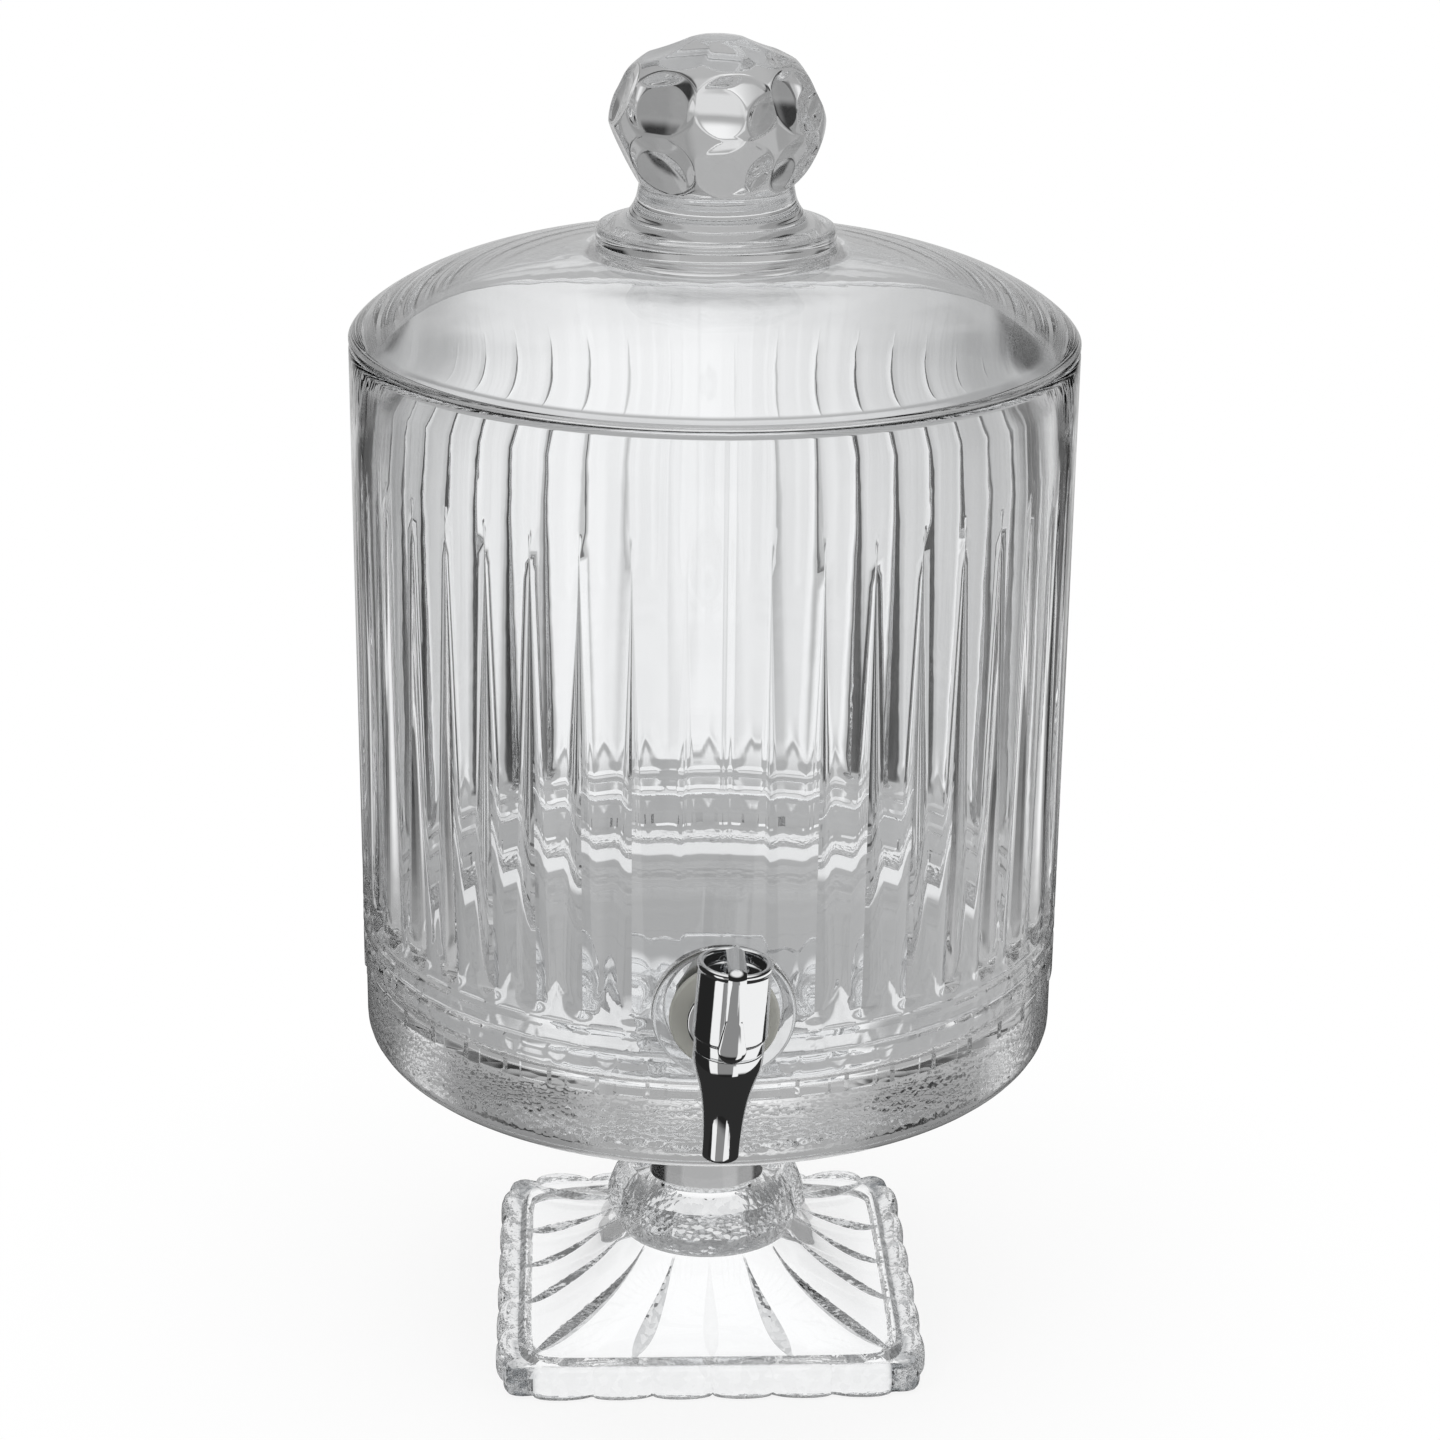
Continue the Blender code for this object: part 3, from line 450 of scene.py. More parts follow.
class NodeWriter:
    """Writes nodes and links into one node tree."""

    def __init__(self, tree: bpy.types.NodeTree) -> None:
        """Keeps the tree."""
        self.tree = tree

    def node(self, kind: str, **settings: object) -> bpy.types.Node:
        """Adds a node.

        Args:
            kind: Blender's name of the node type.
            settings: Properties to set on it.

        Returns:
            The node.
        """
        node = self.tree.nodes.new(kind)
        for key, value in settings.items():
            setattr(node, key, value)
        return node

    def output(self, node: bpy.types.Node, name: int | str = 0) -> Signal:
        """The value at an output of a node."""
        return Signal(self, node.outputs[name])

    def put(self, value: Operand | Sequence[float], socket: bpy.types.NodeSocket) -> None:
        """Feeds an input.

        Args:
            value: Value in the tree, number or colour.
            socket: The input.
        """
        if isinstance(value, Signal):
            self.tree.links.new(value.socket, socket)
        else:
            socket.default_value = value

    def feed(self, node: bpy.types.Node, **values: Operand | Sequence[float]) -> None:
        """Feeds inputs of a node.

        Args:
            node: The node.
            values: What each input gets, by its name with underscores for the spaces.
        """
        for name, value in values.items():
            self.put(value, node.inputs[name.replace("_", " ")])

    def call(self, kind: str, values: Sequence[Operand], **settings: object) -> Signal:
        """Adds a node, feeds its inputs in order and takes its first output.

        Args:
            kind: Blender's name of the node type.
            values: What its first inputs get.
            settings: Properties to set on it.

        Returns:
            The result.
        """
        node = self.node(kind, **settings)
        for value, socket in zip(values, node.inputs):
            self.put(value, socket)
        return self.output(node)

    def math(self, operation: str, *values: Operand) -> Signal:
        """Adds one math node."""
        return self.call("ShaderNodeMath", values, operation=operation)

    def ramp(
        self, value: Operand, start: Operand, end: Operand, low: Operand = 0.0, high: Operand = 1.0
    ) -> Signal:
        """Maps a value smoothly from one range to another and holds the ends.

        Args:
            value: The value to map.
            start: Value that gives low.
            end: Value that gives high.
            low: Result at start.
            high: Result at end.

        Returns:
            The mapped value.
        """
        sizes = (value, start, end, low, high)
        return self.call("ShaderNodeMapRange", sizes, interpolation_type="SMOOTHSTEP")

    def window(self, value: Signal, band: Band) -> Signal:
        """A mask that is 1 within a band and fades to 0 at its ends.

        Args:
            value: The value to test.
            band: The band.

        Returns:
            The mask.
        """
        rises = self.ramp(value, band.low - band.soft, band.low + band.soft)
        falls = self.ramp(value, band.high - band.soft, band.high + band.soft, 1.0, 0.0)
        return rises * falls

    def mix(self, share: Signal, first: Signal | Sequence[float], second: Sequence[float]) -> Signal:
        """Mixes two colours.

        Args:
            share: Share of the second colour.
            first: The first colour.
            second: The second colour.

        Returns:
            The mixed colour.
        """
        node = self.node("ShaderNodeMix", data_type="RGBA")
        for value, number in ((share, 0), (first, 6), (second, 7)):
            self.put(value, node.inputs[number])
        return self.output(node, 2)

    def split(self, vector: Signal) -> tuple[Signal, ...]:
        """Takes a vector apart.

        Args:
            vector: The vector.

        Returns:
            Its coordinates.
        """
        node = self.node("ShaderNodeSeparateXYZ")
        self.put(vector, node.inputs[0])
        return tuple(Signal(self, socket) for socket in node.outputs)

    def place(self) -> Signal:
        """The place on the object in a shader's tree."""
        return self.output(self.node("ShaderNodeTexCoord"), "Object")


class Relief:
    """A Geometry Nodes tree that moves the points of a mesh by a rule."""

    def __init__(self, name: str, sizes: dict[str, float]) -> None:
        """Opens the tree.

        Args:
            name: Name of the tree.
            sizes: Named inputs and the values they get.
        """
        self.sizes = sizes
        self.tree = bpy.data.node_groups.new(name, "GeometryNodeTree")
        faces = self.tree.interface
        faces.new_socket("Geometry", in_out="INPUT", socket_type="NodeSocketGeometry")
        for size in sizes:
            faces.new_socket(size, in_out="INPUT", socket_type="NodeSocketFloat")
        faces.new_socket("Geometry", in_out="OUTPUT", socket_type="NodeSocketGeometry")
        self.write = NodeWriter(self.tree)
        self.inputs = self.write.node("NodeGroupInput")
        place = self.write.node("GeometryNodeInputPosition")
        self.x, self.y, self.z = self.write.split(self.write.output(place))

    def size(self, name: str) -> Signal:
        """The value of a named input."""
        return self.write.output(self.inputs, name)

    def move(self, obj: bpy.types.Object, places: Sequence[Signal], finish: "Finish") -> bpy.types.Object:
        """Closes the tree, runs it on an object and keeps the result as a plain mesh.

        Args:
            obj: The object to change.
            places: New coordinates of each point.
            finish: The finish that the tree sets.

        Returns:
            The object.
        """
        write = self.write
        mover = write.node("GeometryNodeSetPosition")
        real = write.node("GeometryNodeRealizeInstances")
        painter = write.node("GeometryNodeSetMaterial")
        out = write.node("NodeGroupOutput")
        painter.inputs["Material"].default_value = finish.material()
        place = write.call("ShaderNodeCombineXYZ", places)
        write.feed(mover, Geometry=self.size("Geometry"), Position=place)
        write.feed(real, Geometry=write.output(mover))
        write.feed(painter, Geometry=write.output(real))
        write.feed(out, Geometry=write.output(painter))
        modifier = obj.modifiers.new(self.tree.name, "NODES")
        modifier.node_group = self.tree
        for item in self.tree.interface.items_tree:
            if item.in_out == "INPUT" and item.name in self.sizes:
                modifier[item.identifier] = self.sizes[item.name]
        return settle(obj)


# Finishes


class Effects:
    """Shader node groups that the finishes share."""

    swell_detail: float = 1.0
    smear_detail: float = 5.0
    smear_roughness: float = 0.6
    smear_edge: float = 0.25
    least_shade: float = 0.6
    grain_fade: float = 3.0

    @staticmethod
    def begin(
        name: str, inputs: dict[str, float], outputs: Sequence[str]
    ) -> tuple[NodeWriter, bpy.types.Node]:
        """Opens a group with float inputs and outputs.

        Args:
            name: Name of the group.
            inputs: Named inputs and their usual values.
            outputs: Names of the outputs.

        Returns:
            The writer and the group's input node.
        """
        tree = bpy.data.node_groups.new(name, "ShaderNodeTree")
        for key, value in inputs.items():
            socket = tree.interface.new_socket(key, in_out="INPUT", socket_type="NodeSocketFloat")
            socket.default_value = value
        for key in outputs:
            tree.interface.new_socket(key, in_out="OUTPUT", socket_type="NodeSocketFloat")
        write = NodeWriter(tree)
        return write, write.node("NodeGroupInput")

    @staticmethod
    def noise(write: NodeWriter, scale: Signal, detail: float, roughness: float = 0.5) -> Signal:
        """Cloudy noise in the object's own coordinates.

        Args:
            write: Writer of the tree.
            scale: Waves in a metre.
            detail: Number of finer layers.
            roughness: How strong the finer layers are.

        Returns:
            The noise.
        """
        node = write.node("ShaderNodeTexNoise")
        write.feed(node, Vector=write.place(), Scale=scale, Detail=detail, Roughness=roughness)
        return write.output(node)

    @staticmethod
    @cache
    def waviness() -> bpy.types.NodeTree:
        """A slow swell and a fine ripple, as moulded or polished surfaces have.

        Returns:
            The group, with the output Height.
        """
        scales = {"Swell Scale": 30.0, "Ripple Scale": 160.0, "Ripple Share": 0.3}
        write, given = Effects.begin("surface_waviness", scales, ["Height"])
        swell = Effects.noise(write, write.output(given, "Swell Scale"), Effects.swell_detail)
        ripple = Effects.noise(write, write.output(given, "Ripple Scale"), Effects.swell_detail)
        height = swell + ripple * write.output(given, "Ripple Share")
        write.feed(write.node("NodeGroupOutput"), Height=height)
        return write.tree

    @staticmethod
    @cache
    def handling() -> bpy.types.NodeTree:
        """Cloudy smears with finer specks, as wiping and touching leave.

        Returns:
            The group, with the output Mask.
        """
        write, given = Effects.begin("handling_marks", {"Scale": 60.0, "Cover": 0.5}, ["Mask"])
        scale = write.output(given, "Scale")
        smear = Effects.noise(write, scale, Effects.smear_detail, Effects.smear_roughness)
        low = 1.0 - write.output(given, "Cover")
        mask = write.ramp(smear, low, low + Effects.smear_edge)
        write.feed(write.node("NodeGroupOutput"), Mask=mask)
        return write.tree

    @staticmethod
    @cache
    def grain() -> bpy.types.NodeTree:
        """Small cells, each shaded by chance, where the mesh is marked for it. Their Mask is painted shade
        that darkens the colour; their Height is the grain's pits.

        Returns:
            The group, with the outputs Mask and Height.
        """
        write, given = Effects.begin("mould_grain_painted_shade", {"Scale": 600.0}, ["Mask", "Height"])
        marked = write.output(write.node("ShaderNodeAttribute", attribute_name=GRAIN), "Fac")
        cells = write.node("ShaderNodeTexVoronoi", feature="F1")
        write.feed(cells, Vector=write.place(), Scale=write.output(given, "Scale"))
        chance = write.split(write.output(cells, "Color"))[0]
        # Painted shade by cell, darker where the mesh is marked more strongly.
        mask = write.ramp(chance, 0.0, 1.0, Effects.least_shade, 1.0) * marked**Effects.grain_fade
        height = write.output(cells, "Distance") * marked
        write.feed(write.node("NodeGroupOutput"), Mask=mask, Height=height)
        return write.tree


@dataclass(frozen=True)
class Finish:
    """A finish: two colours and two roughness values between which its marks vary, its waves and its grain.

    The slot is the record's name of the finish. Grain, with its painted shade, shows only on meshes that
    are marked for it.
    """

    slot: str
    clean: Colour
    marked: Colour
    smooth: float
    rough: float
    metallic: float = 0.0
    transmission: float = 0.0
    refraction: float = 1.5
    swell_scale: float = 30.0
    ripple_scale: float = 160.0
    wave_height: float = 0.0
    mark_scale: float = 60.0
    mark_cover: float = 0.5
    grain_size: float = 0.0
    grain_height: float = 0.0
    # Colour that the grain darkens towards: painted shade for the grey that scattered light gives stippled
    # glass.
    grain_painted_shade: Colour = (0.5, 0.5, 0.5)

    @cache
    def material(self) -> bpy.types.Material:
        """Makes the material on its first use.

        Returns:
            The material. A plain one that held its name is renamed.
        """
        old = bpy.data.materials.get(self.slot)
        if old is not None:
            old.name = self.slot + "_plain"
        made = bpy.data.materials.new(self.slot)
        made.use_nodes = True
        write = NodeWriter(made.node_tree)
        shader = made.node_tree.nodes["Principled BSDF"]
        write.feed(shader, Metallic=self.metallic, IOR=self.refraction)
        write.feed(shader, Transmission_Weight=self.transmission)

        marks = write.node("ShaderNodeGroup", node_tree=Effects.handling())
        write.feed(marks, Scale=self.mark_scale, Cover=self.mark_cover)
        mask = write.output(marks, "Mask")
        colour = write.mix(mask, (*self.clean, 1.0), (*self.marked, 1.0))
        write.feed(shader, Roughness=write.ramp(mask, 0.0, 1.0, self.smooth, self.rough))

        waves = write.node("ShaderNodeGroup", node_tree=Effects.waviness())
        write.feed(waves, Swell_Scale=self.swell_scale, Ripple_Scale=self.ripple_scale)
        bump = write.node("ShaderNodeBump")
        write.feed(bump, Distance=self.wave_height, Height=write.output(waves, "Height"))
        normal = write.output(bump)
        if self.grain_height:
            grain = write.node("ShaderNodeGroup", node_tree=Effects.grain())
            write.feed(grain, Scale=1 / self.grain_size)
            # Painted shade: the grain's mask darkens the base colour; the pits below are the real grain.
            colour = write.mix(write.output(grain, "Mask"), colour, (*self.grain_painted_shade, 1.0))
            pits = write.node("ShaderNodeBump")
            height = write.output(grain, "Height")
            write.feed(pits, Distance=self.grain_height, Height=height, Normal=normal)
            normal = write.output(pits)
        write.feed(shader, Base_Color=colour, Normal=normal)
        return made


GLASS = Finish(
    slot="clear_glass",
    clean=(0.982, 0.987, 0.992),
    marked=(0.968, 0.976, 0.984),
    smooth=0.0,
    rough=0.012,
    transmission=1.0,
    refraction=1.52,
    swell_scale=38.0,
    ripple_scale=130.0,
    wave_height=0.03 * MM,
    mark_scale=25.0,
    mark_cover=0.45,
    grain_size=2.2 * MM,
    grain_height=0.34 * MM,
    # Near-black painted shade for the stippled glass.
    grain_painted_shade=(0.12, 0.13, 0.14),
)
CHROME = Finish(
    slot="polished_chrome",
    clean=(0.86, 0.865, 0.87),
    marked=(0.80, 0.80, 0.795),
    smooth=0.03,
    rough=0.11,
    metallic=1.0,
    swell_scale=90.0,
    ripple_scale=420.0,
    wave_height=0.03 * MM,
    mark_scale=140.0,
    mark_cover=0.42,
)
STEEL = Finish(
    slot="stainless_steel",
    clean=(0.62, 0.63, 0.64),
    marked=(0.52, 0.53, 0.53),
    smooth=0.2,
    rough=0.34,
    metallic=1.0,
    swell_scale=200.0,
    ripple_scale=900.0,
    wave_height=0.02 * MM,
    mark_scale=300.0,
)
SILICONE = Finish(
    slot="grey_silicone",
    clean=(0.60, 0.60, 0.55),
    marked=(0.52, 0.52, 0.47),
    smooth=0.28,
    rough=0.45,
    transmission=0.3,
    refraction=1.41,
    swell_scale=120.0,
    ripple_scale=500.0,
    wave_height=0.04 * MM,
    mark_scale=180.0,
)
WHITE_PLASTIC = Finish(
    slot="white_plastic",
    clean=(0.86, 0.86, 0.84),
    marked=(0.80, 0.80, 0.77),
    smooth=0.3,
    rough=0.45,
    swell_scale=150.0,
    ripple_scale=700.0,
    wave_height=0.03 * MM,
    mark_scale=220.0,
)


# The vessel


@dataclass
class Jar:
    """The fluted jar with its band of crossed cuts and the flat pad for the tap.

    The flutes are shallow beside the two seams, so that the halves of the mould can draw off sideways.
    Heights are above the table. Widths of flutes, cuts and notches are shares of the flutes' pitch.
    """

    radius: float = 110 * MM
    bottom: float = 100 * MM
    top: float = 327 * MM
    wall: float = 6 * MM
    floor: float = 25 * MM
    heel: float = 12 * MM
    corner: float = 8 * MM
    lip: float = 2 * MM
    under_shares: tuple[float, ...] = (0.0, 1 / 3, 0.65)
    floor_shares: tuple[float, ...] = (0.6, 0.3, 0.0)
    flutes_per_side: int = 22
    seam_gap: float = math.radians(12.2)
    seam_columns: int = 8
    seam_proud: float = 0.12 * MM
    flute_tip: float = 290 * MM
    flute_end: float = 151 * MM
    flute_slant: float = 3 * MM
    flute_depth: float = 2.0 * MM
    flute_width: float = 0.37
    flute_least: float = 0.02
    flute_curve: float = 1.5
    full_draft: float = math.radians(27)
    band_top: float = 161 * MM
    band_middle: float = 146 * MM
    lower_ring: float = 139 * MM
    band_bottom: float = 131.5 * MM
    band_slack: float = 0.01 * MM
    cut_depth: float = 0.25 * MM
    cut_width: float = 0.11
    ring_depth: float = 0.9 * MM
    ring_half: float = 1.4 * MM
    notch_bottom: float = 126.5 * MM
    notch_gap: float = 1 * MM
    notch_edge: float = 0.4 * MM
    notch_fade: float = 6 * MM
    notch_depth: float = 0.7 * MM
    notch_width: float = 0.17
    pad_height: float = 154.8 * MM
    pad_radius: float = 21 * MM
    pad_proud: float = 2.5 * MM
    pad_edge: float = 1.2 * MM
    pad_root: float = 1 * MM
    pad_columns: int = 96
    inner_pad_radius: float = 17.5 * MM
    inner_pad_face: float = 102.02 * MM
    hole_radius: float = 8 * MM
    hole_past: float = 3 * MM
    columns_per_flute: int = 14
    even_width: float = 4 / 14
    # Grain at the heel, with a faint painted shade.
    heel_grain_and_shade: float = 0.48
    smooth: float = 24

    def pitch(self) -> float:
        """Angle between neighbouring flutes, which fill each side between the two seams."""
        return (math.pi - self.seam_gap) / (self.flutes_per_side - 1)

    def grid_half(self, height: float) -> float:
        """Where the columns that follow a flute's edges stand at a height.

        Args:
            height: Height above the table.

        Returns:
            Half width of their group, even at the rim and below the flutes.
        """
        if height > self.flute_tip:
            share = (height - self.flute_tip) / (self.top - self.lip - self.flute_tip)
            return self.flute_least + (self.even_width - self.flute_least) * min(share, 1.0)
        if height >= self.flute_end:
            share = (self.flute_tip - height) / (self.flute_tip - self.flute_end)
            return max(self.flute_width * min(max(share, 0.0), 1.0), self.flute_least)
        share = (self.flute_end - height) / self.flute_slant
        return self.flute_width + (self.even_width - self.flute_width) * min(share, 1.0)

    def ring(self, radius: float, height: float, fluted: bool) -> np.ndarray:
        """Points of one ring.

        Args:
            radius: Radius of the wall.
            height: Height above the table.
            fluted: Whether the flutes cut into it.

        Returns:
            The points, with a seam at the front and another at the back.
        """
        half = self.grid_half(height) if fluted else self.even_width
        across = follow(even_columns(self.columns_per_flute), self.even_width, half)
        depth = np.zeros_like(across)
        if fluted and self.flute_end - self.flute_slant < height < self.flute_tip:
            share = np.minimum(np.abs(across) / half, 1.0)
            slant = min((height - self.flute_end + self.flute_slant) / self.flute_slant, 1.0)
            depth = self.flute_depth * half / self.flute_width * (1 - share) ** self.flute_curve * slant
        pitch = self.pitch()
        first = self.seam_gap / 2
        numbers = np.arange(self.flutes_per_side)
        strip = (np.arange(self.seam_columns) / self.seam_columns * 2 - 1) * (first - pitch / 2)
        side = np.concatenate([strip, first + (numbers[:, None] + across).ravel() * pitch])
        middles = first + numbers * pitch
        draft = np.minimum(np.minimum(middles, math.pi - middles) / self.full_draft, 1.0)
        cuts = np.concatenate([np.zeros_like(strip), np.outer(draft, depth).ravel()])
        if fluted and height > self.flute_end:
            cuts[self.seam_columns // 2] = -self.seam_proud
        angles = np.concatenate([side, side + math.pi]) - QUARTER
        return around(radius - np.tile(cuts, 2), angles, height)

    def wall_heights(self) -> list[float]:
        """Heights of the rings between the heel and the lip.

        Returns:
            The heights from the heel up, closer where the wall is cut.
        """
        stops = (
            (self.notch_bottom - self.notch_gap, 4),
            (self.notch_bottom, 1),
            (self.band_bottom, 11),
            (self.band_top, 32),
            (self.flute_tip, 29),
            (self.top - self.lip, 5),
        )
        heights = [self.bottom + self.heel]
        for stop, count in stops:
            heights += np.linspace(heights[-1], stop, count + 1)[1:].tolist()
        return heights[1:-1]

    def rows(self) -> list[tuple[float, float, bool]]:
        """Rings of the jar from under its bottom to the inner floor.

        Returns:
            Radius, height and whether fluted of each.
        """
        outer = [(self.radius * share, self.bottom) for share in self.under_shares]
        outer += rounded((self.radius, self.bottom), self.heel, -90, 0, 10)
        outer += [(self.radius, height) for height in self.wall_heights()]
        outer += rounded((self.radius, self.top), self.lip, 0, 90, 6)
        inner_radius = self.radius - self.wall
        floor = self.bottom + self.floor
        inner = rounded((inner_radius, self.top), self.lip, 90, 180, 6)
        for height in np.linspace(self.top - self.lip, floor + self.corner, 8)[1:-1]:
            inner.append((inner_radius, height))
        inner += rounded((inner_radius, floor), self.corner, 0, -90, 8)
        inner += [(inner_radius * share, floor) for share in self.floor_shares]
        marked = [(radius, height, radius > self.radius - MM) for radius, height in outer]
        return marked + [(radius, height, False) for radius, height in inner]

    def cut_band(self, obj: bpy.types.Object) -> bpy.types.Object:
        """Cuts the crossed lines, the two rings and the notched edge into the wall.

        Args:
            obj: The jar about its own axis.

        Returns:
            The jar.
        """
        sizes = {
            "First Flute": self.seam_gap / 2,
            "Pitch": self.pitch(),
            "Band Top": self.band_top,
            "Band Middle": self.band_middle,
            "Band Bottom": self.band_bottom,
            "Band Slack": self.band_slack,
            "Notch Bottom": self.notch_bottom,
            "Cell Height": self.band_top - self.band_middle,
            "Cut Depth": self.cut_depth,
            "Cut Width": self.cut_width,
            "Ring Depth": self.ring_depth,
            "Ring Half": self.ring_half,
            "Lower Ring": self.lower_ring,
            "Notch Depth": self.notch_depth,
            "Notch Width": self.notch_width,
            "Notch Edge": self.notch_edge,
            "Notch Fade": self.notch_fade,
            "Wall Radius": self.radius - self.wall / 2,
            "Heel Top": self.bottom + self.heel,
        }
        relief = Relief("band_of_cuts", sizes)
        write = relief.write
        size = relief.size
        height = relief.z
        radius = (relief.x**2.0 + relief.y**2.0).root()
        angle = write.math("ARCTAN2", relief.x, -relief.y)
        along = (angle.zigzag(QUARTER) - size("First Flute")) / size("Pitch")
        half_up = (height - size("Band Middle")) / size("Cell Height") / 2.0
        line = (along + half_up).zigzag(0.5).least((along - half_up).zigzag(0.5)) / size("Cut Width")
        below_top = height < size("Band Top") + size("Band Slack")
        above_bottom = height > size("Band Bottom") - size("Band Slack")
        cross = (1.0 - line).most(0.0) * size("Cut Depth") * (below_top * above_bottom)
        off_ring = abs(height - size("Band Middle")).least(abs(height - size("Lower Ring")))
        ring = (1.0 - off_ring / size("Ring Half")).most(0.0) * size("Ring Depth")
        raised = (0.5 - along.zigzag(0.5)) < size("Notch Width")
        edge = size("Notch Bottom") + raised * (size("Band Bottom") - size("Notch Bottom"))
        notch = write.ramp(height, edge, edge - size("Notch Edge"), 0.0, size("Notch Depth"))
        notch = notch * write.ramp(height, size("Heel Top") - size("Notch Fade"), size("Heel Top"))
        depth = (cross.most(ring) + notch) * (radius > size("Wall Radius"))
        scale = 1.0 - depth / radius.most(LEAST_RADIUS)
        return relief.move(obj, (relief.x * scale, relief.y * scale, height), GLASS)

    def build(self) -> None:
        """Builds and dresses the jar."""
        rows = self.rows()
        rings = np.array([self.ring(*row) for row in rows])
        # The heel is pitted by the grain and painted slightly darker: painted shade.
        heel = [fluted and height < self.notch_bottom - self.notch_gap for _, height, fluted in rows]
        grain = np.repeat(np.array(heel)[:, None], rings.shape[1], axis=1) * self.heel_grain_and_shade
        jar = self.cut_band(skin("fluted_jar", rings, grain=grain))
        face = self.radius + self.pad_proud
        root = self.radius - self.wall + self.pad_root
        profile = [(0.0, face)]
        profile += rounded((self.pad_radius, face), self.pad_edge, 90, 0)
        profile += [(self.pad_radius, root), (self.inner_pad_radius, root)]
        profile += rounded((self.inner_pad_radius, self.inner_pad_face), self.pad_edge, 0, -90)
        profile.append((0.0, self.inner_pad_face))
        place = Matrix.Translation((0, 0, self.pad_height)) @ Matrix.Rotation(QUARTER, 4, "X")
        pad = turned("tap_pad", profile, self.pad_columns)
        pad.data.transform(place)
        low = self.inner_pad_face - self.hole_past
        hole = rod("tap_hole", self.hole_radius, low, face + self.hole_past, place)
        carve(jar, Cut.JOIN, pad)
        carve(jar, Cut.REMOVE, hole)
        dress(jar, GLASS, Body.JAR, ["glass_jar"], JAR_AXIS, self.smooth)


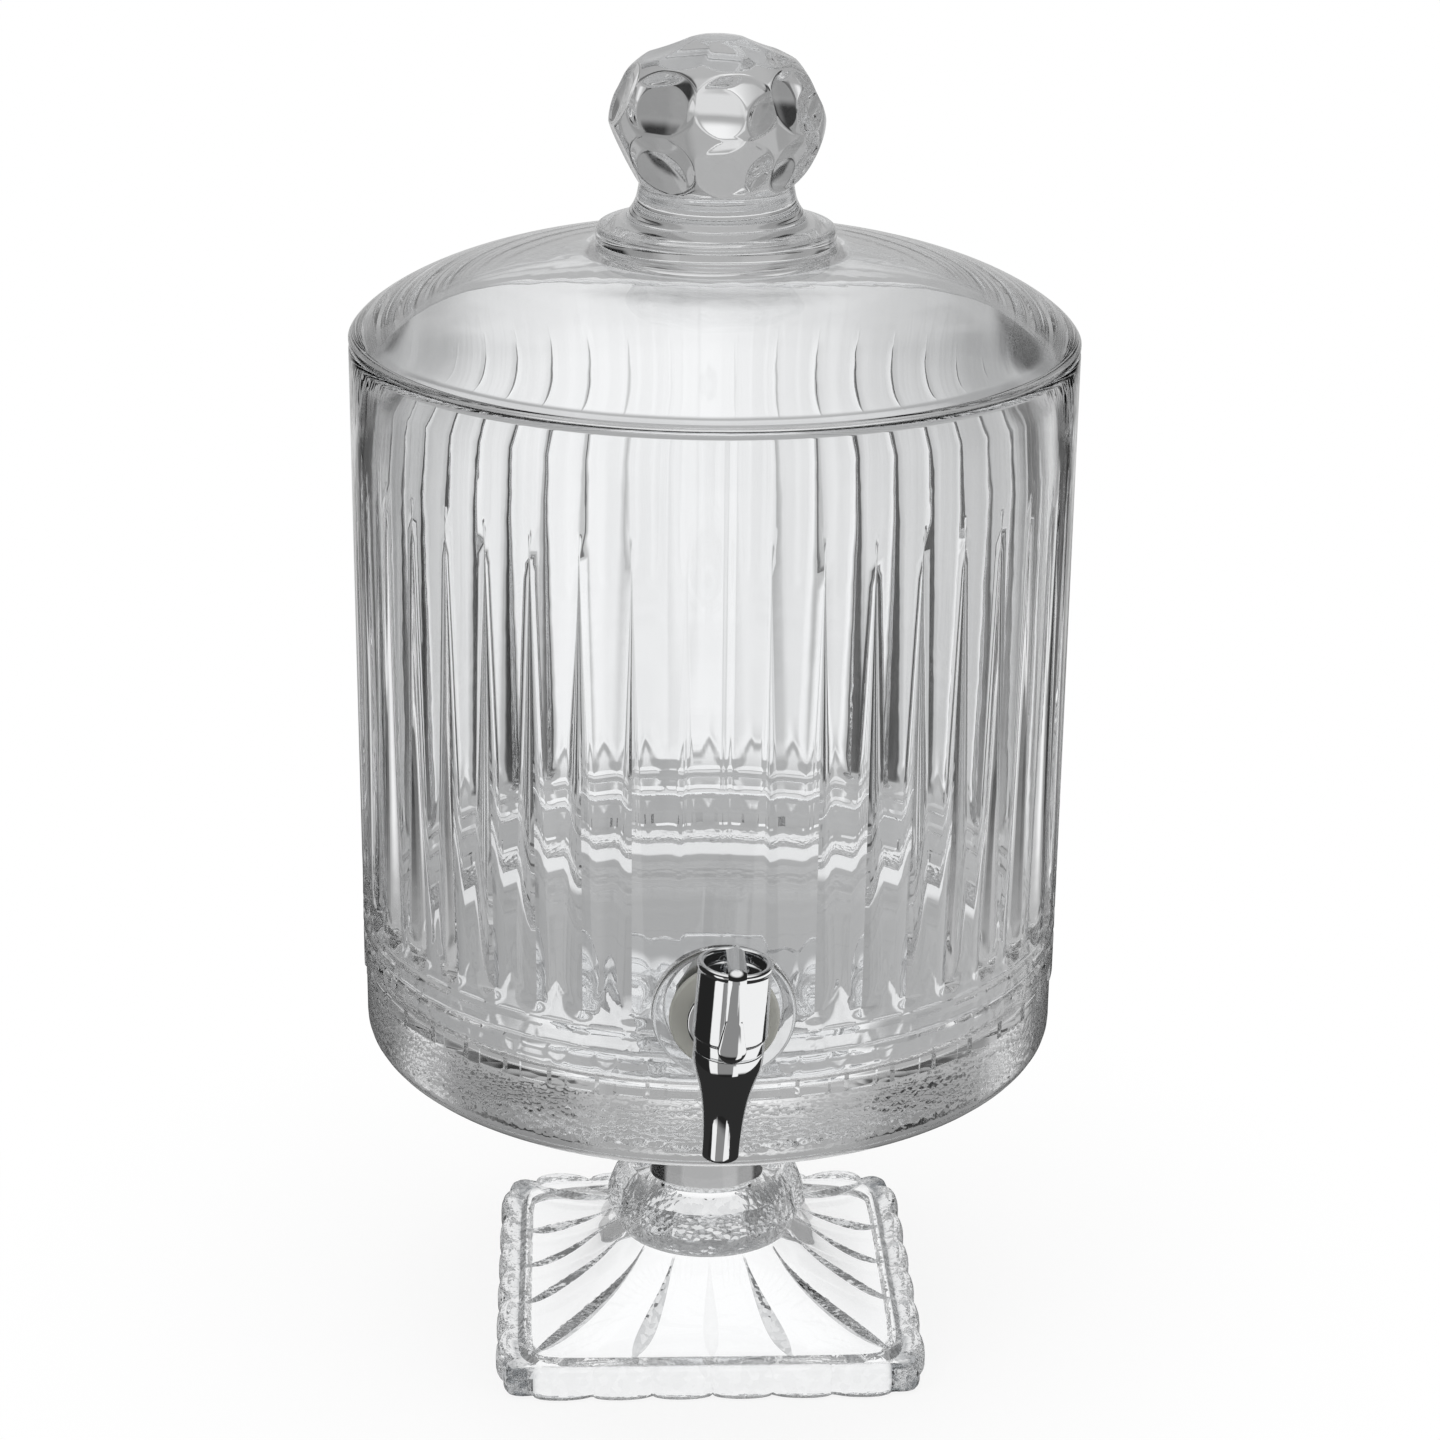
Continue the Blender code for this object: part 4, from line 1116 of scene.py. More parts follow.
@dataclass
class Foot:
    """The pressed pedestal: a square base with a roped edge, leaf flutes, a faceted knop and a flared stem.

    Widths of the flutes are shares of their pitch. Each grain says how strongly one part is pitted and
    painted with shade.
    """

    half: float = 68.75 * MM
    height: float = 99.7 * MM
    squareness: float = 12.0
    wall: float = 6 * MM
    rim: float = 9 * MM
    skirt: float = 9.5 * MM
    skirt_round: float = 3.2 * MM
    margin: float = 7 * MM
    margin_shares: tuple[float, ...] = (0.35, 0.7, 1.0)
    border: float = 2 * MM
    curve: float = 1.6
    square_fade: float = 3.0
    rows: int = 26
    flutes: int = 16
    flute_depth: float = 1.8 * MM
    flute_width: float = 0.14
    flute_least: float = 0.04
    leaf_shape: float = 0.75
    columns_per_flute: int = 32
    kept_width: float = 0.3125
    lobes: int = 6
    bulge: float = 3.0 * MM
    rise: float = 1.8 * MM
    rise_start: float = 0.6
    lobe_inner: float = 1 * MM
    lobe_outer: float = 4 * MM
    slack: float = 0.5 * MM
    knop_base: Point = (29 * MM, 30 * MM)
    knop: Point = (33 * MM, 38 * MM)
    knop_shoulder: Point = (30.5 * MM, 46 * MM)
    knop_top: Point = (25 * MM, 51 * MM)
    knop_facet: float = 1.4 * MM
    knop_rows: int = 16
    stem: Point = (20 * MM, 67 * MM)
    stem_rows: int = 12
    head_radius: float = 37 * MM
    head_thickness: float = 4 * MM
    cavity_neck: Point = (17 * MM, 38 * MM)
    cavity_top: Point = (12 * MM, 45 * MM)
    # Grain strengths: each pits the glass and paints it darker, a painted shade.
    edge_grain_and_shade: float = 0.6
    border_grain_and_shade: float = 0.95
    # The front and back of the border get less grain and are painted paler: painted light.
    front_grain_painted_light: float = 0.3
    front_gap: float = 2 * MM
    knop_grain_and_shade: float = 0.8
    flute_grain_and_shade: float = 0.88
    # Flutes that face front or back get less grain and are painted paler: painted light.
    facing_grain_painted_light: float = 0.4
    facing_slope: float = 8
    corner_start: float = 52 * MM
    corner_full: float = 58 * MM
    smooth: float = 16

    def grain(self, rings: np.ndarray) -> np.ndarray:
        """How strongly the mould's grain and its painted shade mark each point of flutes, knop, border and
        corners.

        Args:
            rings: Points of the outer and inner sides by ring.

        Returns:
            The strength from 0 to 1 by ring and place along it.
        """
        wide = np.abs(rings[..., 0])
        deep = np.abs(rings[..., 1])
        height = rings[..., 2]
        across = np.maximum(wide, deep)
        out = self.half - self.margin
        # The corners of the border are painted darkest: painted shade along with the grain.
        reach = (np.minimum(wide, deep) - self.corner_start) / (self.corner_full - self.corner_start)
        edge = np.maximum(np.clip(reach, 0.0, 1.0), self.edge_grain_and_shade)
        marks = np.where(across > out - self.slack, edge, 0.0)
        on_border = (np.abs(across - out + self.border / 2) < self.border) & (height > self.skirt - MM)
        # Painted light: the front and back of the border are painted paler than the sides.
        painted_light_front_back = deep > wide + self.front_gap
        marks = np.where(on_border, np.where(painted_light_front_back, self.front_grain_painted_light, self.border_grain_and_shade), marks)
        on_slope = (across < out - self.border) & (height < self.knop_base[1] - self.slack)
        inside = np.abs(even_columns(self.columns_per_flute)) < self.kept_width - TINY
        on_flute = on_slope & np.tile(inside, self.flutes)
        # Painted light: flutes that face front or back are painted paler.
        facing_painted_light = deep > self.facing_slope * wide
        marks = np.where(on_flute, np.where(facing_painted_light, self.facing_grain_painted_light, self.flute_grain_and_shade), marks)
        on_knop = (height > self.knop_base[1]) & (height < self.knop_top[1])
        return np.where(on_knop, self.knop_grain_and_shade, marks)

    def ring(
        self,
        half: float,
        height: float,
        squareness: float = CIRCLE,
        groove: float = 0.0,
        width: float = 0.0,
    ) -> np.ndarray:
        """Points of one ring between a circle and a rounded square, with the leaf flutes cut down into it.

        Args:
            half: Half width.
            height: Height above the table.
            squareness: Exponent of the ring's shape.
            groove: Depth of the flutes.
            width: Half width of the flutes; without one, the columns are even.

        Returns:
            The points.
        """
        even = even_columns(self.columns_per_flute)
        across = follow(even, self.kept_width, width or self.kept_width)
        drop = groove * np.maximum(1 - np.abs(even) / self.kept_width, 0.0)
        angles = (np.arange(self.flutes)[:, None] + across).ravel() / self.flutes * TURN
        spread = np.abs(np.cos(angles)) ** squareness + np.abs(np.sin(angles)) ** squareness
        return around(half * spread ** (-1 / squareness), angles, height - np.tile(drop, self.flutes))

    def slope(self, low: Point, high: Point, groove: float) -> list[np.ndarray]:
        """Rings of the concave slope from the square base up to the round top.

        Args:
            low: Half width and height of the base.
            high: Radius and height of the top.
            groove: Depth of the leaf flutes.

        Returns:
            The rings from the base up.
        """
        rings = []
        for share in np.linspace(0, 1, self.rows + 1):
            squareness = CIRCLE + (self.squareness - CIRCLE) * (1 - share) ** self.square_fade
            height = low[1] + (high[1] - low[1]) * share**self.curve
            leaf = math.sin(math.pi * share**self.leaf_shape)
            half = low[0] + (high[0] - low[0]) * share
            width = max(self.flute_width * leaf, self.flute_least) if groove else 0.0
            rings.append(self.ring(half, height, squareness, groove * max(leaf, 0.0), width))
        return rings

    def knop_rings(self) -> list[np.ndarray]:
        """Rings of the knop with its row of round facets.

        Returns:
            The rings from its base up.
        """
        radii, heights = np.array([self.knop_base, self.knop, self.knop_shoulder, self.knop_top]).T
        rings = []
        for height in np.linspace(heights[0], heights[-1], self.knop_rows + 1)[1:]:
            radius = np.interp(height, heights, radii)
            swell = math.sin(math.pi * (height - heights[0]) / (heights[-1] - heights[0]))
            ring = self.ring(radius, height)
            angles = np.arctan2(ring[:, 1], ring[:, 0])
            facet = np.abs(np.sin(angles * self.flutes / 2)) * swell
            ring[:, :2] *= (1 - self.knop_facet * (1 - facet) * swell / radius)[:, None]
            rings.append(ring)
        return rings

    def rope_edge(self, obj: bpy.types.Object) -> bpy.types.Object:
        """Presses the row of rounded lobes into the edge of the square base.

        Args:
            obj: The foot about its own axis.

        Returns:
            The foot.
        """
        sizes = {
            "Half Width": self.half,
            "Lobes": self.lobes,
            "Bulge": self.bulge,
            "Rise": self.rise,
            "Rise Start": self.rise_start,
            "Skirt": self.skirt,
            "Slack": self.slack,
            "Margin": self.margin,
            "Lobe Inner": self.lobe_inner,
            "Lobe Outer": self.lobe_outer,
        }
        relief = Relief("rope_edge", sizes)
        write = relief.write
        size = relief.size
        wide = abs(relief.x)
        deep = abs(relief.y)
        out = wide.most(deep)
        faces_y = deep > wide
        along = relief.x * faces_y + relief.y * (1.0 - faces_y)
        pitch = size("Half Width") * 2.0 / (size("Lobes") + 1.0)
        phase = (along + size("Half Width")) / pitch + 0.5
        tooth = 1.0 - phase.zigzag(0.5) * 2.0
        lobe = (1.0 - tooth**2.0).root()
        edge = size("Half Width") - size("Margin")
        near_edge = write.ramp(out, edge - size("Lobe Inner"), edge + size("Lobe Outer"))
        mask = near_edge * (relief.z < size("Skirt") + size("Slack"))
        inset = (1.0 - lobe) * size("Bulge") * mask
        scale = 1.0 - inset / out.most(LEAST_RADIUS)
        on_top = write.ramp(relief.z, size("Skirt") * size("Rise Start"), size("Skirt"))
        lift = lobe * size("Rise") * mask * on_top
        return relief.move(obj, (relief.x * scale, relief.y * scale, relief.z + lift), GLASS)

    def build(self) -> None:
        """Builds and dresses the foot."""
        border = (self.half - self.margin - self.border, self.skirt + self.border)
        cavity = ((ON_AXIS, self.cavity_top[1]), self.cavity_top, self.cavity_neck)
        rings = [self.ring(*place) for place in cavity]
        under_top = (self.knop_base[0] - self.wall, self.knop_base[1] - self.wall)
        rings += reversed(self.slope((border[0] - self.wall / 2, border[1] - self.wall), under_top, 0.0))
        under_rows = len(rings)
        edge = [(self.half - self.rim, 0.0)]
        edge += rounded((self.half, 0.0), self.skirt_round, -90, 0)
        edge += rounded((self.half, self.skirt), self.skirt_round, 0, 90)
        for share in self.margin_shares:
            inwards = (self.margin - self.skirt_round) * share
            edge.append((self.half - self.skirt_round - inwards, self.skirt))
        rings += [self.ring(*place, self.squareness) for place in edge]
        rings += self.slope(border, self.knop_base, self.flute_depth)
        rings += self.knop_rings()
        flare_top = self.height - self.head_thickness
        for share in np.linspace(0, 1, self.stem_rows + 1):
            radius = self.stem[0] + (self.head_radius - self.stem[0]) * share**2
            rings.append(self.ring(radius, self.stem[1] + (flare_top - self.stem[1]) * share))
        rings += [self.ring(self.head_radius, self.height), self.ring(ON_AXIS, self.height)]
        shape = np.array(rings)
        outside = np.arange(len(rings)) > under_rows
        foot = self.rope_edge(skin("pressed_foot", shape, grain=self.grain(shape) * outside[:, None]))
        dress(foot, GLASS, Body.JAR, ["pedestal_foot"], JAR_AXIS, self.smooth)


@dataclass
class Lid:
    """The domed lid with its centring step, and the cut ball knob on a flared neck.

    Heights of the collar, the neck and the ball are above the knob's base, the others above the table.
    """

    radius: float = 110 * MM
    inner_radius: float = 104 * MM
    bottom: float = 327.3 * MM
    rise: float = 27.4 * MM
    edge: float = 1.4 * MM
    edge_round: float = 0.7 * MM
    wall: float = 6 * MM
    roundness: float = 2.6
    fullness: float = 1.4
    dome_rows: int = 33
    plug_depth: float = 4 * MM
    plug_width: float = 2 * MM
    plug_round: float = 1.5 * MM
    plug_clearance: float = 1.2 * MM
    thickening: float = 7.0
    inner_rows: int = 39
    knob_top: float = 417.8 * MM
    knob_height: float = 62.5 * MM
    collar_radius: float = 36 * MM
    collar_height: float = 6.5 * MM
    collar_round: float = 2 * MM
    collar_blend: float = 2.5 * MM
    neck: Point = (23.3 * MM, 18.5 * MM)
    neck_rows: int = 12
    ball_radius: float = 32.5 * MM
    ball_middle: float = 38.5 * MM
    ball_rows: int = 109
    facets: int = 8
    facet_turn: float = math.radians(8)
    facet_hollow: float = 90 * MM
    crown_angle: float = math.radians(61)
    crown_depth: float = 1.7 * MM
    girdle_angle: float = math.radians(19)
    girdle_depth: float = 3.5 * MM
    pavilion_angle: float = math.radians(-23)
    pavilion_depth: float = 3.0 * MM
    ridge_round: float = 0.1 * MM
    columns: int = 320

    def dome(self, radius: float) -> float:
        """Height of the dome's outer side above the table at a radius."""
        share = min(radius / self.radius, 1.0)
        return self.bottom + self.edge + self.rise * (1 - share**self.roundness) ** (1 / self.fullness)

    def profile(self) -> list[Point]:
        """Profile of the neck, the collar, the dome and its underside.

        Returns:
            Radius and height of each point, from under the ball to the middle of the underside.
        """
        base = self.knob_top - self.knob_height
        neck_radius, neck_height = self.neck
        shoulder = self.collar_radius - self.collar_round
        points = []
        for angle in np.linspace(0, QUARTER, self.neck_rows + 1)[1:]:
            radius = shoulder + (neck_radius - shoulder) * math.cos(angle)
            height = neck_height + (self.collar_height - neck_height) * math.sin(angle)
            points.append((radius, base + height))
        points += rounded((self.collar_radius, base + self.collar_height), self.collar_round, 90, 0, 6)[1:]
        blend = self.collar_blend
        start = self.collar_radius + blend
        points += arc((start, self.dome(start) + blend), blend, 180, 260, 6)
        for angle in np.linspace(0, QUARTER, self.dome_rows + 1)[1:]:
            radius = start + (self.radius - start) * math.sin(angle)
            points.append((radius, self.dome(radius)))
        points += rounded((self.radius, self.bottom), self.edge_round, 0, -90, 4)
        plug_outer = self.inner_radius - self.plug_clearance
        plug_inner = plug_outer - self.plug_width
        low = self.bottom - self.plug_depth
        points += [(plug_outer + self.plug_round, self.bottom), (plug_outer, self.bottom - self.plug_round)]
        points += rounded((plug_outer, low), self.plug_round, 0, -90, 4)
        landing = self.dome(self.collar_radius) - self.wall
        step_sink = self.dome(plug_inner) - self.wall - low
        for radius in np.linspace(plug_inner, 0, self.inner_rows + 1):
            sink = step_sink * (radius / plug_inner) ** self.thickening
            points.append((radius, min(self.dome(radius) - self.wall - sink, landing)))
        return points

    def lowest_angle(self) -> float:
        """Angle on the ball's oval at which it meets the neck."""
        return -math.acos(self.neck[0] / self.ball_radius)

    def oval(self, angle: float) -> float:
        """Half height of the ball's oval.

        Args:
            angle: Angle on the oval.

        Returns:
            The half height, which differs above and below the middle.
        """
        if angle > 0:
            return self.knob_height - self.ball_middle
        return (self.ball_middle - self.neck[1]) / -math.sin(self.lowest_angle())

    def hollows(self) -> np.ndarray:
        """Finds the spheres that hollow the facets.

        Returns:
            The middles, measured from the ball's middle.
        """
        rows = (
            (self.crown_angle, self.crown_depth),
            (self.girdle_angle, self.girdle_depth),
            (self.pavilion_angle, self.pavilion_depth),
        )
        turns = TURN * np.arange(self.facets) / self.facets + self.facet_turn - QUARTER
        middles = []
        for angle, depth in rows:
            half = self.oval(angle)
            upward = math.atan2(math.sin(angle) / half, math.cos(angle) / self.ball_radius)
            away = self.facet_hollow - depth
            across = self.ball_radius * math.cos(angle) + away * math.cos(upward)
            middles.append(around(across, turns, half * math.sin(angle) + away * math.sin(upward)))
        return np.concatenate(middles)

    def ball_rings(self) -> list[np.ndarray]:
        """Rings of the faceted ball.

        Returns:
            The rings from its top down to the neck.
        """
        turns = (np.arange(self.columns) / self.columns + 0.5 / self.facets) * TURN
        turns = turns + self.facet_turn - QUARTER
        hollows = self.hollows()
        past = (hollows**2).sum(axis=1) - self.facet_hollow**2
        middle = self.knob_top - self.knob_height + self.ball_middle
        rings = []
        for angle in np.linspace(QUARTER, self.lowest_angle(), self.ball_rows + 1):
            points = around(self.ball_radius * math.cos(angle), turns, self.oval(angle) * math.sin(angle))
            whole = np.linalg.norm(points, axis=1)
            towards = points / whole[:, None]
            along = towards @ hollows.T
            inside = along**2 - past
            met = np.where(inside > 0, along - np.sqrt(np.maximum(inside, 0.0)), whole[:, None])
            met = np.where(along > 0, met, whole[:, None])
            met = np.column_stack([whole, met])
            least = met.min(axis=1)
            near = np.exp((least[:, None] - met) / self.ridge_round).sum(axis=1)
            reach = least - self.ridge_round * np.log(near)
            rings.append(towards * reach[:, None] + np.array((0.0, 0.0, middle)))
        return rings

    def build(self) -> None:
        """Builds and dresses the lid with its knob."""
        rings = self.ball_rings()
        turns = np.arctan2(rings[-1][:, 1], rings[-1][:, 0])
        rings += [around(radius, turns, height) for radius, height in self.profile()]
        lid = skin("domed_lid", np.array(rings))
        dress(lid, GLASS, Body.LID, ["lid_dome", "lid_knob"], JAR_AXIS)


# The tap


@dataclass(frozen=True)
class Washer:
    """A flat ring on the shank. Its face, the side towards the tap, is measured from the pad's face."""

    name: str
    node: str
    finish: Finish
    radius: float
    face: float
    thickness: float
    rounding: float


@dataclass
class Tap:
    """The chrome tap and the rings that clamp it.

    Its origin lies where the shank's axis meets the pad's face. Heights are above that axis, and lengths on
    the shank run inwards. The lean is in degrees.
    """

    axis: Vector = Vector((0, -91.15 * MM, 154.8 * MM))
    lean: float = 3.5
    reach: float = 26 * MM
    bulge_radius: float = 10 * MM
    bulge_top: float = 6 * MM
    bulge_bottom: float = -0.5 * MM
    edge: float = 0.6 * MM
    collar_bottom: float = 2 * MM
    groove: float = 0.6 * MM
    nozzle_radius: float = 4.7 * MM
    nozzle_end: float = -31.9 * MM
    nozzle_sweep: float = 10.5 * MM
    nozzle_round: float = 0.5 * MM
    nozzle_bore: float = 3.4 * MM
    nozzle_rows: int = 27
    neck_radius: float = 7.5 * MM
    neck_top: float = 12 * MM
    chamber_radius: float = 5.8 * MM
    seat: float = -4.5 * MM
    bore_past: float = 1 * MM
    shank_radius: float = 7.5 * MM
    shank_bore: float = 4 * MM
    shank_end: float = 23.88 * MM
    shank_chamfer: float = 0.8 * MM
    shank_neck: float = 5.5 * MM
    shank_fillet: float = 1.5 * MM
    shank_columns: int = 72
    flange_face: float = -3.1 * MM
    flange_radius: float = 11 * MM
    flange_thickness: float = 2.8 * MM
    flange_round: float = 0.9 * MM
    bonnet_radius: float = 10.3 * MM
    bonnet_foot: float = 10.7 * MM
    bonnet_bottom: float = 6.3 * MM
    bonnet_top: float = 28.6 * MM
    bonnet_rim: float = 1.7 * MM
    bonnet_bore: float = 7.8 * MM
    bonnet_shoulder: float = 13.5 * MM
    bonnet_shares: tuple[float, ...] = (0.0, 0.02, 0.1, 0.5, 0.9, 0.98)
    rim_proud: float = 0.45 * MM
    rim_height: float = 2.0 * MM
    rim_gap: float = 0.3 * MM
    dish_top: float = 24.5 * MM
    dish_bottom: float = 22.5 * MM
    dish_round: float = 0.8 * MM
    spring_room: float = 6.5 * MM
    stem_hole: float = 2.3 * MM
    pivot: float = 27.5 * MM
    thread_gap: float = 0.3 * MM
    washers: tuple[Washer, ...] = (
        Washer("outer_seal", "outer_washer", SILICONE, 16 * MM, -2.8 * MM, 2.5 * MM, 0.9 * MM),
        Washer("inner_seal", "inner_washer", SILICONE, 14 * MM, 10.78 * MM, 2.0 * MM, 0.7 * MM),
        Washer("clamp_ring", "clamp_washer", STEEL, 13 * MM, 13.08 * MM, 1.0 * MM, 0.25 * MM),
    )
    nut_face: float = 14.38 * MM
    nut_thickness: float = 7 * MM
    nut_width: float = 22 * MM
    nut_round: float = 0.6 * MM
    columns: int = 96

    def place(self, forward: float = 0.0, up: float = 0.0) -> Matrix:
        """Matrix from the tap's own frame to the world.

        Args:
            forward: Distance in front of the pad's face.
            up: Height above the shank's axis.

        Returns:
            The matrix.
        """
        lean = Matrix.Rotation(math.radians(self.lean), 4, "Y")
        return Matrix.Translation(self.axis) @ lean @ Matrix.Translation((0, -forward, up))

    def build_body(self) -> None:
        """Builds and dresses the body: bulge, bell-shaped nozzle, flange and shank, bored through."""
        profile = [(0.0, self.neck_top), (self.neck_radius, self.neck_top)]
        profile.append((self.neck_radius, self.bulge_top))
        profile += rounded((self.bulge_radius, self.bulge_top), self.edge, 90, 0, 6)
        profile.append((self.bulge_radius, self.collar_bottom + self.groove))
        profile.append((self.bulge_radius - self.groove, self.collar_bottom))
        profile += rounded((self.bulge_radius, self.collar_bottom), self.groove, 90, 0)[1:]
        length = self.bulge_bottom - self.nozzle_end
        for depth in np.linspace(0, length - self.nozzle_round, self.nozzle_rows + 1):
            spread = (self.bulge_radius - self.nozzle_radius) / (1 + (depth / self.nozzle_sweep) ** 2)
            profile.append((self.nozzle_radius + spread, self.bulge_bottom - depth))
        profile += rounded((profile[-1][0], self.nozzle_end), self.nozzle_round, 0, -90, 4)
        profile.append((0.0, self.nozzle_end))
        body = turned("tap_spout", profile, self.columns)

        front = self.flange_face - self.flange_thickness
        shank_profile = [(0.0, self.shank_end), (self.shank_radius - self.shank_chamfer, self.shank_end)]
        shank_profile.append((self.shank_radius, self.shank_end - self.shank_chamfer))
        shank_profile += [(self.shank_radius, self.flange_face), (self.flange_radius, self.flange_face)]
        shank_profile += rounded((self.flange_radius, front), self.flange_round, 0, -90)
        shank_profile += rounded((self.shank_neck, front), self.shank_fillet, 90, 180, 6)
        inner_end = self.chamber_radius / 2 - self.reach
        shank_profile += [(self.shank_neck, inner_end), (0.0, inner_end)]
        shank = turned("tap_shank", shank_profile, self.shank_columns)
        shank.data.transform(Matrix.Translation((0, self.reach, 0)) @ ALONG_SHANK)
        carve(body, Cut.JOIN, shank)

        past = self.bore_past
        far = self.reach + self.shank_end + past
        bores = [
            rod("chamber_bore", self.chamber_radius, self.seat, self.neck_top + past),
            rod("nozzle_bore", self.nozzle_bore, self.nozzle_end - past, self.seat + past / 2),
            rod("shank_bore", self.shank_bore, 0, far, ALONG_SHANK),
        ]
        carve(body, Cut.REMOVE, *bores)
        dress(body, CHROME, Body.JAR, ["tap_body"], self.place(self.reach))

    def build_bonnet(self) -> None:
        """Builds and dresses the barrel with its open dish."""
        outer = self.bonnet_radius
        inner = outer - self.bonnet_rim
        foot = self.bonnet_foot
        lip = (self.bonnet_rim + self.rim_proud) / 2
        upper = self.bonnet_top - self.rim_height - self.rim_gap
        lower = self.bonnet_bottom + self.edge
        profile = [(self.stem_hole, self.dish_top)]
        profile += rounded((inner, self.dish_top), self.dish_round, -90, 0)
        profile += arc((inner + lip, self.bonnet_top - lip), lip, 180, -40, 18)
        for share in self.bonnet_shares:
            profile.append((outer + (foot - outer) * share, upper + (lower - upper) * share))
        profile += rounded((foot, self.bonnet_bottom), self.edge, 0, -90, 6)
        profile += [
            (self.bonnet_bore, self.bonnet_bottom),
            (self.bonnet_bore, self.bonnet_shoulder),
            (self.spring_room, self.bonnet_shoulder),
            (self.spring_room, self.dish_bottom),
            (self.stem_hole, self.dish_bottom),
        ]
        bonnet = turned("tap_barrel", profile, self.columns, looped=True)
        dress(bonnet, CHROME, Body.JAR, ["tap_bonnet"], self.place(self.reach))

    def build_washer(self, washer: Washer) -> None:
        """Builds and dresses one of the rings on the shank.

        Args:
            washer: The ring's sizes.
        """
        bore = self.shank_radius + self.thread_gap
        back = washer.face + washer.thickness
        profile = [(bore, back)]
        profile += rounded((washer.radius, back), washer.rounding, 90, 0)
        profile += rounded((washer.radius, washer.face), washer.rounding, 0, -90)
        profile.append((bore, washer.face))
        ring = turned(washer.name, profile, self.columns, looped=True)
        ring.data.transform(ALONG_SHANK)
        dress(ring, washer.finish, Body.JAR, [washer.node], self.place())

    def build_nut(self) -> None:
        """Builds and dresses the hexagon nut."""
        back = self.nut_face + self.nut_thickness
        outline = arc((0.0, 0.0), self.nut_width / math.sqrt(3), 0, 300, 5)
        middle = Matrix.Translation((0, 0, self.nut_face + self.nut_thickness / 2))
        nut = plate("shank_hexagon", outline, self.nut_thickness, middle)
        bore = self.shank_radius + self.thread_gap
        carve(nut, Cut.REMOVE, rod("nut_hole", bore, self.nut_face - self.bore_past, back + self.bore_past))
        soften(nut, self.nut_round)
        nut.data.transform(ALONG_SHANK)
        dress(nut, WHITE_PLASTIC, Body.JAR, ["shank_nut"], self.place())

    def build(self) -> None:
        """Builds every piece of the tap that stays on the jar."""
        self.build_body()
        self.build_bonnet()
        for washer in self.washers:
            self.build_washer(washer)
        self.build_nut()


